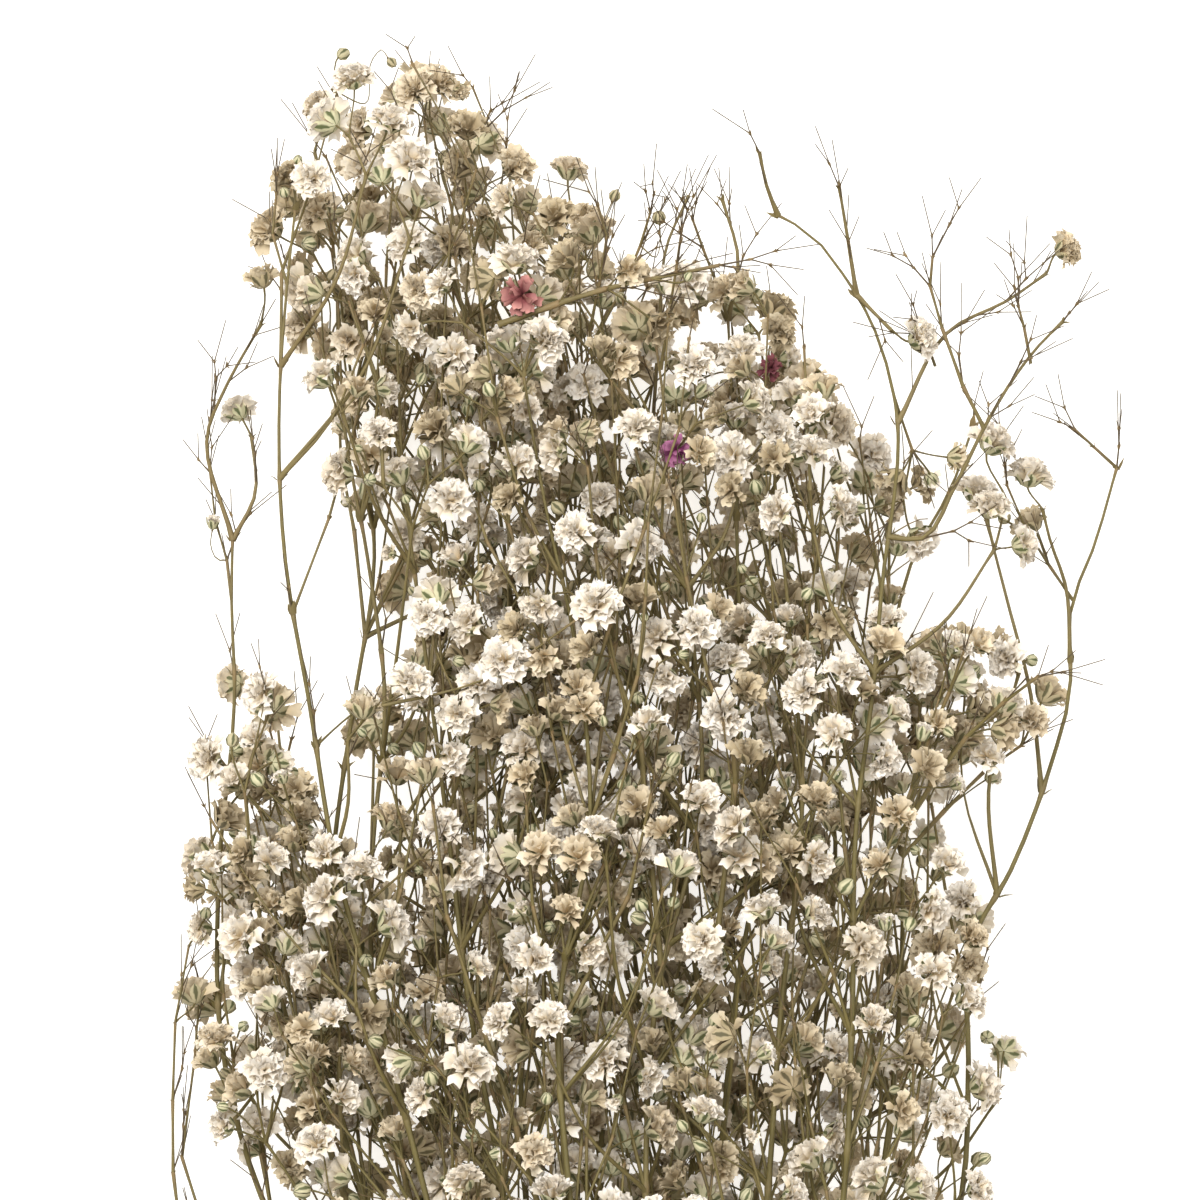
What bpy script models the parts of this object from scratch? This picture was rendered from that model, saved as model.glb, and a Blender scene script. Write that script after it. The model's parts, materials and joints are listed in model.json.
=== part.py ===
"""A tied bunch of dried gypsophila, lying on a surface with its flowers towards +Y.

Every stem is one closed solid: stalk, branches, pedicels and flowers grow out of each other.
The layout is a rule with seeded draws, and each new shoot is kept only where it stays clear of the rest.
The rule works in millimetres: x across the bunch, y along it, z above the surface.
"""

import math
import random

import bmesh
import bpy
import numpy as np
from mathutils import Matrix, Vector

SEED = 20
MM = 0.001
PIXEL_MM = 0.18  # real size of one pixel of the reference view
VIEW_X_PX, VIEW_Y_PX = 600, 1200  # pixel of the view that is x 0, y 0

# the whole bunch, along its length
BUTT_PX = 2480
TIE_PX = 2050
LOWEST_JOINT_PX = 1500

# stalks
STALK_RADIUS = 1.05
STALK_TIP_RADIUS = 0.55
BRANCH_RADIUS = 0.52
TWIG_RADIUS = 0.42
FOOT_RADIUS, FOOT_LENGTH = 1.2, 4.0  # a branch is thicker where it leaves the stalk
PEDICEL_RADIUS = 0.36
CLEAR = 0.35
LEAST_FORK = 0.5  # radians between two shoots of one joint
SLOT_PITCH = 2.7
ROUTE_STEP = 4.0
BARE_STEP = 36.0
TIP_POINTS = 4  # points of the route between the last joint and the tip
KNUCKLE_HALF = 1.5
KNUCKLE_SWELL = 1.3
BUTT_LENGTH = 12.0  # of the prism at the cut end that a stalk is drawn out of

# the tie: a flat band of wound straw with a flat underside
TIE_ROWS = (3, 4, 5, 4, 3)
TIE_WALL = 1.3
TIE_WIDTH = 14.0
TIE_SIDES = 16
TIE_GAP = 0.5
TIE_RIM = 0.4  # how far the band's edges are cut back
WAIST_HALF = 9.0
BUTT_FLARE_X, BUTT_FLARE_Z = 2.1, 1.25

# flowers
BLOOM_RADIUS = (3.4, 4.7)
BUD_RADIUS = (1.5, 2.1)
LOBES = 4
BLOOM_CENTRE = 0.70  # height of the flower's middle above its foot, in radii
LOBE, LOBE_LIFT = 0.97, 0.02  # a lobe's tip, out from the flower's axis and up from its middle, in radii
NOTCH, NOTCH_LIFT = 0.66, 0.26  # the rim between two lobes
DOME = 0.66  # height of the flower's top above its middle, in radii
PEDICEL_LENGTH = (4.0, 9.5)
DEPTH_WEIGHT = 0.35  # how much less a gap counts along the view than across it
TWIG_LENGTH = (7.0, 15.0)
BRANCH_LENGTH = (20.0, 50.0)
NODE_STEP = 20.0
BRANCH_TRIES, TWIG_TRIES, FLOWER_TRIES, GOAL_TRIES = 70, 8, 16, 150
BRANCH_LIMIT = 100
TWIG_LIMIT = 165
BLOOM_LIMIT = 440
BUD_LIMIT = 36

# florets of another plant that are caught in the bunch: the pixel of the view, and the radius
FLORETS = {"pink": ((515, 290), 3.1), "maroon": ((740, 355), 2.0), "purple": ((687, 472), 2.5)}
FLORET_COLOURS = {"pink": (0.62, 0.25, 0.27), "maroon": (0.27, 0.08, 0.12), "purple": (0.42, 0.16, 0.38)}
FLORET_LOBES = 5
FLORET_NOTCH = 0.74
FLORET_DEPTH = 0.75  # height of the rim above the foot, in radii
FLORET_CUP = 0.42  # height of the cup's bottom above the foot, in radii
FLORET_FOOT = 0.3
FLORET_GAP = 0.4  # to the twig that it lies on
FLORET_REACH = 8.0  # how far from its pixel it may lie, in millimetres
FLORET_TRIES = 12
FLORET_TILT = 0.3  # how far it may face away from straight up
FLORET_COVER = 0.6  # share of its radius within which what lies above hides it
FLORET_ASIDE, FLORET_RISE = 0.1, 0.02  # cost of a millimetre aside of its pixel, and gain of one higher up
FLORET_ROOM = 0.7  # share of the gap that it keeps to everything
FLORET_SEED = 7

# half the thickness of the flowering head and the height of its middle
HEAD_HALF_DEPTH = 37.0
HEAD_MIDDLE = 36.0
HEAD_HALF_WIDTH = 84.0
WIDEST_SHARE = 0.93  # beyond this share of its half width the head gets no thinner

# Routes of the stalks upward from the head's base, in pixels of the view.
# The first number is the height of each in the head, in millimetres.
STALKS = {
    "left_long": (58, [
        (470, 1360), (432, 1200), (385, 1020), (340, 860), (314, 702), (290, 560), (284, 420),
        (292, 290), (300, 215),
    ]),
    "front_middle": (64, [
        (590, 1360), (572, 1200), (560, 1000), (590, 820), (575, 640), (545, 500), (525, 380),
    ]),
    "right_fork": (60, [
        (810, 1360), (838, 1200), (848, 1000), (852, 820), (868, 690), (876, 598), (889, 400),
        (868, 330), (836, 276), (806, 240), (775, 222),
    ]),
    "left_low": (50, [(400, 1360), (350, 1200), (298, 1040), (262, 910), (248, 780)]),
    "left_inner": (47, [
        (520, 1360), (505, 1200), (470, 1000), (448, 820), (425, 640), (405, 480), (398, 330),
    ]),
    "middle_high": (52, [
        (650, 1360), (645, 1200), (655, 1000), (700, 800), (690, 620), (672, 470), (655, 345),
    ]),
    "right_inner": (48, [
        (745, 1360), (765, 1200), (780, 1000), (800, 820), (790, 640), (775, 500), (765, 385),
    ]),
    "far_left": (34, [
        (360, 1360), (262, 1200), (222, 1050), (218, 880), (234, 690), (231, 600), (232, 540),
    ]),
    "left_middle": (37, [
        (455, 1360), (410, 1200), (375, 1020), (372, 860), (385, 700), (368, 560), (345, 430),
        (338, 300),
    ]),
    "centre": (38, [
        (600, 1360), (600, 1200), (610, 1000), (640, 820), (625, 640), (600, 480), (590, 330),
    ]),
    "right_middle": (36, [
        (720, 1360), (720, 1200), (735, 1000), (762, 820), (740, 620), (735, 460), (728, 320),
    ]),
    "far_right": (38, [
        (900, 1360), (960, 1200), (968, 1060), (970, 945), (1012, 866), (1050, 765), (1068, 700),
        (1072, 600), (1092, 550), (1116, 468),
    ]),
    "left_back": (22, [
        (430, 1360), (360, 1200), (320, 1020), (330, 860), (352, 700), (372, 560), (352, 400),
        (330, 240),
    ]),
    "high_back": (24, [
        (540, 1360), (525, 1200), (520, 1000), (530, 820), (515, 640), (490, 440), (475, 260),
        (462, 165),
    ]),
    "middle_back": (23, [
        (670, 1360), (690, 1200), (700, 1000), (670, 820), (660, 640), (640, 470), (618, 300),
    ]),
    "right_back": (24, [
        (830, 1360), (880, 1200), (900, 1040), (905, 880), (890, 700), (915, 560), (955, 485),
        (976, 425),
    ]),
    "top_left": (10, [
        (500, 1360), (460, 1200), (440, 1000), (450, 820), (455, 640), (430, 450), (400, 270),
        (375, 160),
    ]),
    "top_middle": (9, [
        (610, 1360), (625, 1200), (640, 1000), (600, 820), (585, 640), (565, 450), (555, 270),
    ]),
    "right_deep": (10, [
        (750, 1360), (790, 1200), (820, 1020), (840, 860), (820, 700), (822, 560), (830, 440),
    ]),
}

# Single shoots that stand clear of the head: the stalk, the pixel where each parts, its route in pixels,
# the height at its end, what it bears and the pixel where that should be.
SHOOTS = [
    ("right_fork", (889, 400), [(945, 334), (1003, 304), (1040, 278)], 56, "bloom", (1082, 288)),
    ("right_fork", (876, 598), [
        (915, 540), (948, 488), (976, 432), (1000, 390), (1030, 350), (1052, 328),
    ], 70, "", None),
    ("right_fork", (868, 330), [(884, 334)], 64, "bloom", (876, 300)),
    ("right_fork", (775, 222), [(764, 196), (756, 162)], 66, "", None),
    ("right_fork", (836, 276), [(842, 240), (834, 196)], 66, "", None),
    ("far_left", (232, 540), [(254, 494), (250, 436)], 30, "bloom", (245, 404)),
    ("far_left", (232, 540), [(208, 430), (226, 388), (262, 325)], 40, "", None),
    ("far_right", (1048, 775), [(1030, 690), (1008, 600), (988, 520)], 30, "bloom", (968, 480)),
    ("far_right", (1070, 640), [(1064, 585), (1048, 540), (1040, 510)], 44, "bloom", (1040, 470)),
    ("middle_back", (640, 470), [(660, 330), (668, 240), (690, 190)], 16, "", None),
    ("right_middle", (728, 320), [(738, 260), (722, 200)], 38, "", None),
    ("top_middle", (555, 270), [(560, 232), (570, 205)], 9, "bloom", (572, 157)),
    ("left_back", (330, 240), [(322, 190), (312, 148)], 24, "bloom", (296, 96)),
    ("top_left", (375, 160), [(347, 118), (330, 82)], 12, "bud", (352, 42)),
]

# Outline of the flowering head, in pixels of the view.
HEAD_OUTLINE = [
    (262, 300), (258, 238), (298, 165), (340, 95), (385, 62), (470, 70), (505, 130), (530, 188),
    (585, 195), (612, 262), (700, 278), (785, 300), (828, 395), (868, 445), (960, 440), (1030, 435),
    (1095, 462), (1080, 505), (1040, 560), (960, 560), (905, 585), (880, 638), (960, 628), (1050, 665),
    (1052, 700), (1010, 780), (960, 800), (945, 850), (968, 900), (985, 960), (985, 1030),
    (1012, 1045), (1005, 1130), (975, 1200), (900, 1310), (780, 1380), (430, 1380), (330, 1300),
    (290, 1190), (215, 1120), (190, 1000), (188, 860), (200, 740), (225, 685), (280, 690), (305, 790),
    (340, 860), (392, 850), (398, 760), (350, 750), (348, 705), (412, 680), (430, 600), (350, 575),
    (332, 520), (336, 400), (300, 345),
]


def unit(vector):
    return vector / np.linalg.norm(vector)


def square_to(axis):
    """Two unit vectors that make a right-handed frame with the axis."""
    guide = (0.0, 0.0, 1.0) if abs(axis[2]) < 0.9 else (1.0, 0.0, 0.0)
    first = unit(np.cross(axis, guide))
    return first, np.cross(axis, first)


def leaning(axis, lean, azimuth):
    first, second = square_to(axis)
    around = math.cos(azimuth) * first + math.sin(azimuth) * second
    return math.cos(lean) * axis + math.sin(lean) * around


def azimuth_about(axis, vector):
    first, second = square_to(axis)
    return math.atan2(vector @ second, vector @ first)


def from_view(pixel, height=0.0):
    """A pixel of the view as a point of the bunch, in millimetres."""
    return np.array([(pixel[0] - VIEW_X_PX) * PIXEL_MM, (VIEW_Y_PX - pixel[1]) * PIXEL_MM, height])


def in_head(point):
    """Whether a point lies within the head's outline in the view, and within its depth."""
    x, y = point[0] / PIXEL_MM + VIEW_X_PX, VIEW_Y_PX - point[1] / PIXEL_MM
    inside = False
    for (x0, y0), (x1, y1) in zip(HEAD_OUTLINE, HEAD_OUTLINE[1:] + HEAD_OUTLINE[:1]):
        if (y0 > y) != (y1 > y) and x < x0 + (y - y0) * (x1 - x0) / (y1 - y0):
            inside = not inside
    aside = min(abs(point[0]) / HEAD_HALF_WIDTH, WIDEST_SHARE)
    half = HEAD_HALF_DEPTH * math.sqrt(1 - aside * aside)
    return inside and abs(point[2] - HEAD_MIDDLE) < half


def gaps_to(start, end, starts, ends):
    """Distances from one line segment to many."""
    along, others = end - start, ends - starts
    between = start - starts
    a = along @ along
    e = np.maximum((others * others).sum(1), 1e-12)
    f = (others * between).sum(1)
    c, b = between @ along, others @ along
    apart = a * e - b * b
    s = np.where(apart > 1e-9, np.clip((b * f - c * e) / np.maximum(apart, 1e-9), 0, 1), 0.0)
    t = (b * s + f) / e
    inside = np.clip(t, 0, 1)
    if a > 1e-12:
        s = np.where(t == inside, s, np.clip((b * inside - c) / a, 0, 1))
    return np.linalg.norm(between + np.outer(s, along) - others * inside[:, None], axis=1)


class Thicket:
    """Every shoot and flower placed so far, as thick line segments that know the joints they end at."""

    def __init__(self, room=9000):
        self.count = 0
        self.starts, self.ends = np.zeros((room, 3)), np.zeros((room, 3))
        self.radii, self.joints = np.zeros(room), np.full((room, 2), -1)

    def add(self, start, end, radius, joints):
        n = self.count
        self.starts[n], self.ends[n], self.radii[n], self.joints[n] = start, end, radius, joints
        self.count += 1

    def room(self, start, end, radius, joint=-2):
        """The free gap round a new segment, leaving out what it joins at that joint."""
        n = self.count
        gaps = gaps_to(start, end, self.starts[:n], self.ends[:n]) - self.radii[:n] - radius
        gaps[(self.joints[:n] == joint).any(1)] = 99.0
        return gaps.min(initial=99.0)


class Joint:
    """Where shoots part: its place, the direction it ends in, its sectors and what grows from each."""

    made = 0

    def __init__(self, place, axis, sectors, phase):
        self.place, self.axis, self.sectors, self.phase = place, axis, sectors, phase
        self.shoots, self.ways = {}, []
        self.number = Joint.made
        Joint.made += 1

    def azimuth(self, sector):
        return self.phase + 2 * math.pi * sector / self.sectors

    def bear(self, sector, kind, points, end):
        self.shoots[sector] = (kind, points, end)
        first = points[0] if points else end.place
        self.ways.append(unit(first - self.place))

    def has_room(self, way):
        """Whether a new shoot that goes that way parts well from those already here."""
        return all(way @ other < math.cos(LEAST_FORK) for other in self.ways)


def smooth_route(points, step):
    """Points along a smooth curve through the given ones, nearly evenly spaced."""
    points = np.array(points)
    knots = np.concatenate([[0], np.cumsum(np.linalg.norm(np.diff(points, axis=0), axis=1))])
    spans = np.diff(knots)[:, None]
    slopes = np.diff(points, axis=0) / spans
    inner = (slopes[:-1] * spans[1:] + slopes[1:] * spans[:-1]) / (spans[:-1] + spans[1:])
    tangents = np.vstack([slopes[:1], inner, slopes[-1:]])
    wanted = np.linspace(0, knots[-1], round(knots[-1] / step) + 1)
    i = np.clip(np.searchsorted(knots, wanted, side="right") - 1, 0, len(spans) - 1)
    u = (wanted[:, None] - knots[i, None]) / spans[i]
    rise = u * u * (3 - 2 * u)
    leave, arrive = u * (1 - u) ** 2 * spans[i], u * u * (u - 1) * spans[i]
    return points[i] * (1 - rise) + points[i + 1] * rise + tangents[i] * leave + tangents[i + 1] * arrive


def tie_middle():
    """Height of the tie's middle: its flat underside lies on the surface."""
    return 2 * SLOT_PITCH + STALK_RADIUS + TIE_GAP + TIE_WALL


def stalk_slots():
    """Each stalk's place in the tie, packed in rows: deep stalks low, and left stalks left."""
    by_height = sorted(STALKS, key=lambda name: STALKS[name][0])
    slots = {}
    for row, count in enumerate(TIE_ROWS):
        first = sum(TIE_ROWS[:row])
        names = sorted(by_height[first : first + count], key=lambda name: STALKS[name][1][0][0])
        for column, name in enumerate(names):
            aside = (column - (count - 1) / 2) * SLOT_PITCH
            slots[name] = np.array([aside, 0.0, (row - 2) * SLOT_PITCH * math.sqrt(0.75)])
    return slots


def lay_stalks(draw):
    """Each stalk's points from its cut end, through the tie, to its tip, and its joints."""
    stalks = {}
    for name, slot in stalk_slots().items():
        height, route = STALKS[name]
        centre = from_view((VIEW_X_PX, TIE_PX), tie_middle())
        butt = from_view((VIEW_X_PX, BUTT_PX), tie_middle())
        butt += slot * (BUTT_FLARE_X, 0, BUTT_FLARE_Z) + (0, draw.uniform(-9, 9), 0)
        waist = [centre + slot - (0, WAIST_HALF, 0), centre + slot + (0, WAIST_HALF, 0)]
        head = [from_view(pixel, height) for pixel in route]
        stalks[name] = smooth_route([butt, *waist, *head], ROUTE_STEP)
    return stalks


def radius_at(stalk_y):
    """A stalk tapers from its cut end to the tips."""
    low, high = from_view((0, BUTT_PX))[1], from_view((0, 200))[1]
    share = min(1.0, max(0.0, (stalk_y - low) / (high - low)))
    return STALK_RADIUS + (STALK_TIP_RADIUS - STALK_RADIUS) * share


class Stalk:
    """One stem of the bunch: its rings from the cut end to the tip. Those within the head are joints."""

    def __init__(self, name, points, draw):
        self.name = name
        self.rings = [(points[0], None)]
        tie, base = from_view((0, TIE_PX))[1], from_view((0, LOWEST_JOINT_PX))[1]
        levels = (tie - WAIST_HALF, tie + WAIST_HALF)
        due = BARE_STEP
        for before, here, after in zip(points, points[1:], points[2:-TIP_POINTS]):
            due -= ROUTE_STEP
            at_waist = any(before[1] < level <= here[1] for level in levels)
            if due > 0 and not at_waist:
                continue
            bare = here[1] < base
            joint = None if bare else Joint(here, unit(after - before), 4, draw.uniform(0, math.pi))
            self.rings.append((here, joint))
            due = BARE_STEP if bare else NODE_STEP * draw.uniform(0.85, 1.15)
        self.tip = Joint(points[-1], unit(points[-1] - points[-3]), 4, draw.uniform(0, math.pi))
        self.rings.append((points[-1], self.tip))

    def enter(self, thicket):
        for (start, a), (end, b) in zip(self.rings, self.rings[1:]):
            ends = [j.number if j else -1 for j in (a, b)]
            thicket.add(start, end, radius_at(end[1]) * KNUCKLE_SWELL, ends)

    def joints(self):
        return [joint for _, joint in self.rings if joint]


def reach(joint, draw):
    """A random branch from a joint: its sector, elbow, end and final direction."""
    sector = draw.choice((0, 2))
    azimuth = joint.azimuth(sector) + draw.uniform(-0.45, 0.45)
    length, lean = draw.uniform(*BRANCH_LENGTH), draw.uniform(0.45, 0.85)
    outward = leaning(joint.axis, lean + 0.12, azimuth)
    inward = leaning(joint.axis, max(lean - 0.22, 0.15), azimuth)
    elbow = joint.place + outward * length * 0.5
    return sector, elbow, elbow + inward * length * 0.5, inward


def grow_branch(joints, thicket, draw, heads):
    """Of many branches drawn at random, the one that reaches into the emptiest part of the head."""
    best, best_room = None, 0.0
    for _ in range(BRANCH_TRIES):
        joint = draw.choice(joints)
        sector, elbow, end, inward = reach(joint, draw)
        if sector in joint.shoots or not in_head(end) or end[2] < 4.5:
            continue
        spacing = (np.array(heads) - end) * (1.0, 1.0, DEPTH_WEIGHT)
        room = np.linalg.norm(spacing, axis=1).min()
        if room < best_room:
            continue
        foot = joint.place + unit(elbow - joint.place) * FOOT_LENGTH
        if thicket.room(joint.place, foot, FOOT_RADIUS + CLEAR, joint.number) < 0:
            continue
        if thicket.room(joint.place, elbow, BRANCH_RADIUS + CLEAR, joint.number) < 0:
            continue
        if thicket.room(elbow, end, BRANCH_RADIUS + CLEAR, joint.number) > 0:
            best, best_room = (joint, sector, elbow, end, inward), room
    if best is None:
        return None
    joint, sector, elbow, end, inward = best
    head = Joint(end, inward, 4, draw.uniform(0, math.pi))
    joint.bear(sector, "branch", [elbow], head)
    foot = joint.place + unit(elbow - joint.place) * FOOT_LENGTH
    thicket.add(joint.place, foot, FOOT_RADIUS, (joint.number, -1))
    thicket.add(joint.place, elbow, BRANCH_RADIUS, (joint.number, -1))
    thicket.add(elbow, end, BRANCH_RADIUS, (joint.number, head.number))
    heads.append(end)
    return head


def grow_twig(joint, sector, thicket, draw):
    """A short twig that ends in a joint with three sectors."""
    for _ in range(TWIG_TRIES):
        azimuth = joint.azimuth(sector) + draw.uniform(-0.3, 0.3)
        outward = leaning(joint.axis, draw.uniform(0.45, 0.75), azimuth)
        end = joint.place + outward * draw.uniform(*TWIG_LENGTH)
        if not in_head(end) or end[2] < 4.0 or not joint.has_room(outward):
            continue
        if thicket.room(joint.place, end, TWIG_RADIUS + CLEAR, joint.number) > 0:
            tip = Joint(end, outward, 3, draw.uniform(0, math.pi))
            joint.bear(sector, "twig", [], tip)
            thicket.add(joint.place, end, TWIG_RADIUS, (joint.number, tip.number))
            return tip
    return None


def settled(centre, radius):
    """A flower near the surface comes to lie on it, a little flattened."""
    if centre[2] < 1.7 * radius:
        return np.array([centre[0], centre[1], 0.84 * radius])
    return centre


def outward_of(point):
    """The direction out of the head at a point, across the bunch: flowers turn that way."""
    away = np.array([point[0] * HEAD_HALF_DEPTH / HEAD_HALF_WIDTH, 0.0, point[2] - HEAD_MIDDLE])
    return away / HEAD_HALF_DEPTH


def grow_flower(joint, sector, kind, thicket, draw, centres, tries=FLOWER_TRIES, goal=None):
    """A pedicel with a flower, nearest its goal or where the view is barest. Gives whether one was placed."""
    low, high = BLOOM_RADIUS if kind == "bloom" else BUD_RADIUS
    best, best_room = None, -math.inf
    for _ in range(tries):
        radius = draw.uniform(low, high)
        azimuth = joint.azimuth(sector) + draw.uniform(-0.45, 0.45)
        outward = leaning(joint.axis, draw.uniform(0.40, 1.0), azimuth)
        foot = joint.place + outward * draw.uniform(*PEDICEL_LENGTH)
        stray = np.array([draw.gauss(0, 0.45) for _ in range(3)])
        facing = unit(outward + 0.8 * outward_of(foot) + stray)
        centre = settled(foot + facing * BLOOM_CENTRE * radius, radius)
        foot = centre - facing * BLOOM_CENTRE * radius
        if facing @ unit(foot - joint.place) < 0.35 or foot[2] < 0.9:
            continue
        if goal is None and not in_head(centre) or not joint.has_room(unit(foot - joint.place)):
            continue
        spacing = np.array(centres) - centre if centres else np.full((1, 3), 60.0)
        room = np.linalg.norm(spacing * (1.0, 1.0, DEPTH_WEIGHT), axis=1).min()
        if goal is not None:
            room = -np.linalg.norm(centre - goal)
        if room < best_room or thicket.room(centre, centre, radius + CLEAR, -2) < 0:
            continue
        if thicket.room(joint.place, foot, PEDICEL_RADIUS + CLEAR, joint.number) > 0:
            best, best_room = (foot, facing, radius, centre), room
    if best is None:
        return False
    foot, facing, radius, centre = best
    joint.bear(sector, kind, [foot], (facing, radius))
    thicket.add(joint.place, foot, PEDICEL_RADIUS, (joint.number, -1))
    thicket.add(centre, centre, radius, (-1, -1))
    centres.append(centre)
    return True


def grow_shoots(stalks, thicket, draw, centres):
    """The shoots placed by hand, which stand clear of the head."""
    for name, pixel, route, height, kind, goal in SHOOTS:
        target = from_view(pixel)
        joint = min(stalks[name].joints(), key=lambda j: np.hypot(*(j.place - target)[:2]))
        heights = np.linspace(joint.place[2], height, len(route) + 1)[1:]
        path = [joint.place] + [from_view(p, h) for p, h in zip(route, heights)]
        towards = azimuth_about(joint.axis, path[1] - path[0])
        if not joint.shoots:
            joint.phase = towards
        free = [s for s in range(4) if s not in joint.shoots]
        sector = max(free, key=lambda s: math.cos(joint.azimuth(s) - towards))
        end = Joint(path[-1], unit(path[-1] - path[-2]), 4, draw.uniform(0, math.pi))
        joint.bear(sector, "branch", path[1:-1], end)
        foot = path[0] + unit(path[1] - path[0]) * FOOT_LENGTH
        thicket.add(path[0], foot, FOOT_RADIUS, (joint.number, -1))
        joins = [joint.number] + [-1] * (len(path) - 2) + [end.number]
        for i in range(len(path) - 1):
            thicket.add(path[i], path[i + 1], BRANCH_RADIUS, joins[i : i + 2])
        if kind:
            grow_flower(end, 0, kind, thicket, draw, centres, GOAL_TRIES, from_view(goal, height))


def grow_bunch():
    """The whole bunch as stalks with everything that grows from them."""
    draw = random.Random(SEED)
    thicket = Thicket()
    stalks = {name: Stalk(name, points, draw) for name, points in lay_stalks(draw).items()}
    for stalk in stalks.values():
        stalk.enter(thicket)
    centres = []
    grow_shoots(stalks, thicket, draw, centres)
    joints = [joint for stalk in stalks.values() for joint in stalk.joints()[:-1]]
    ends = [stalk.tip for stalk in stalks.values()]
    heads = [end.place for end in ends]
    for _ in range(BRANCH_LIMIT):
        head = grow_branch(joints, thicket, draw, heads)
        if head:
            ends.append(head)
    tips = []
    for _ in range(2):
        for head in draw.sample(ends, len(ends)):
            sector = draw.randrange(4)
            if len(tips) < TWIG_LIMIT and sector not in head.shoots:
                tip = grow_twig(head, sector, thicket, draw)
                if tip:
                    tips.append(tip)
    tips += ends
    for kind, limit in (("bloom", BLOOM_LIMIT), ("bud", BUD_LIMIT)):
        placed = 0
        for sector in (0, 1, 2, 3):
            for joint in draw.sample(tips, len(tips)):
                if sector < joint.sectors and sector not in joint.shoots and placed < limit:
                    placed += grow_flower(joint, sector, kind, thicket, draw, centres)
    for end in ends + joints:
        drop_bare_twigs(end)
    return stalks, thicket


def lodge(pixel, radius, thicket, draw):
    """A floret's foot and facing near a pixel: on a twig, clear of the rest, high and little hidden."""
    target = from_view(pixel)
    starts, ends, radii = (kept[: thicket.count] for kept in (thicket.starts, thicket.ends, thicket.radii))
    best, lowest = None, math.inf
    for i in np.repeat(np.arange(thicket.count), FLORET_TRIES):
        start, end, thickness = starts[i], ends[i], radii[i]
        on = start + (end - start) * draw.uniform(0.1, 0.9)
        aside = math.hypot(*(on - target)[:2])
        if aside > FLORET_REACH or thickness > BRANCH_RADIUS:
            continue
        facing = unit(np.array([draw.gauss(0, FLORET_TILT), draw.gauss(0, FLORET_TILT), 1.0]))
        twig = unit(end - start)
        foot = on + unit(facing - (facing @ twig) * twig) * (thickness + FLORET_GAP)
        centre = foot + facing * radius
        above = gaps_to(centre, centre + (0, 0, 2 * HEAD_HALF_DEPTH), starts, ends) - radii
        cost = (above < FLORET_COVER * radius).sum() + FLORET_ASIDE * aside - FLORET_RISE * foot[2]
        if cost < lowest and thicket.room(centre, centre, radius) > FLORET_ROOM * FLORET_GAP:
            best, lowest = (foot, facing, radius), cost
    return best


def lodge_florets(thicket):
    draw = random.Random(FLORET_SEED)
    return {name: lodge(*where, thicket, draw) for name, where in FLORETS.items()}


def drop_bare_twigs(joint):
    """Leaves out the twigs that bear nothing."""
    for sector, (kind, _, end) in list(joint.shoots.items()):
        if kind == "twig" and not end.shoots:
            del joint.shoots[sector]


# Meshes: everything on a stalk is drawn out of the face that it grows from.


def ring_points(centre, axis, radius, count, azimuth):
    first, second = square_to(axis)
    turns = [azimuth + 2 * math.pi * i / count for i in range(count)]
    return [centre + radius * (math.cos(t) * first + math.sin(t) * second) for t in turns]


def across(vectors, axis):
    """What is left of vectors when their part along the axis is taken away."""
    return vectors - np.outer(vectors @ axis, axis)


def draw_out(bm, face, centre, axis, radius, azimuth=None):
    """Extrudes a face to a ring round the centre, with the least twist, and gives the new end face."""
    cap = bmesh.ops.extrude_discrete_faces(bm, faces=[face])["faces"][0]
    old = np.array([v.co for v in cap.verts]) / MM
    old = across(old - old.mean(0), axis)
    if azimuth is None:
        azimuth = azimuth_about(axis, old[0])
    ring = np.array(ring_points(centre, axis, radius, len(old), azimuth))
    spokes = ring - centre
    shift = max(range(len(old)), key=lambda k: (old * np.roll(spokes, -k, axis=0)).sum())
    new = np.roll(ring, -shift, axis=0)
    for vertex, place in zip(cap.verts, new):
        vertex.co = Vector(place) * MM
    return cap


def split_sides(cap, axis):
    """Splits the four-cornered faces round an end face along the diagonal that twists less about the axis."""
    for edge in list(cap.edges):
        side = next(f for f in edge.link_faces if f != cap)
        if len(side.verts) != 4:
            continue
        corners = list(side.verts)
        gaps = np.array([corners[i].co - corners[i + 2].co for i in (0, 1)])
        short = int(np.linalg.norm(across(gaps, axis), axis=1).argmin())
        bmesh.utils.face_split(side, corners[short], corners[short + 2])


def facing_most(faces, centre, axis, azimuth):
    """The face whose middle lies nearest that azimuth about the axis."""

    def miss(face):
        middle = np.array(face.calc_center_median()) / MM - centre
        return abs(math.remainder(azimuth_about(axis, middle) - azimuth, 2 * math.pi))

    return min(faces, key=miss)


def poked(bm, face, apex):
    made = bmesh.ops.poke(bm, faces=[face])
    made["verts"][0].co = Vector(apex) * MM
    return made["faces"]


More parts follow.
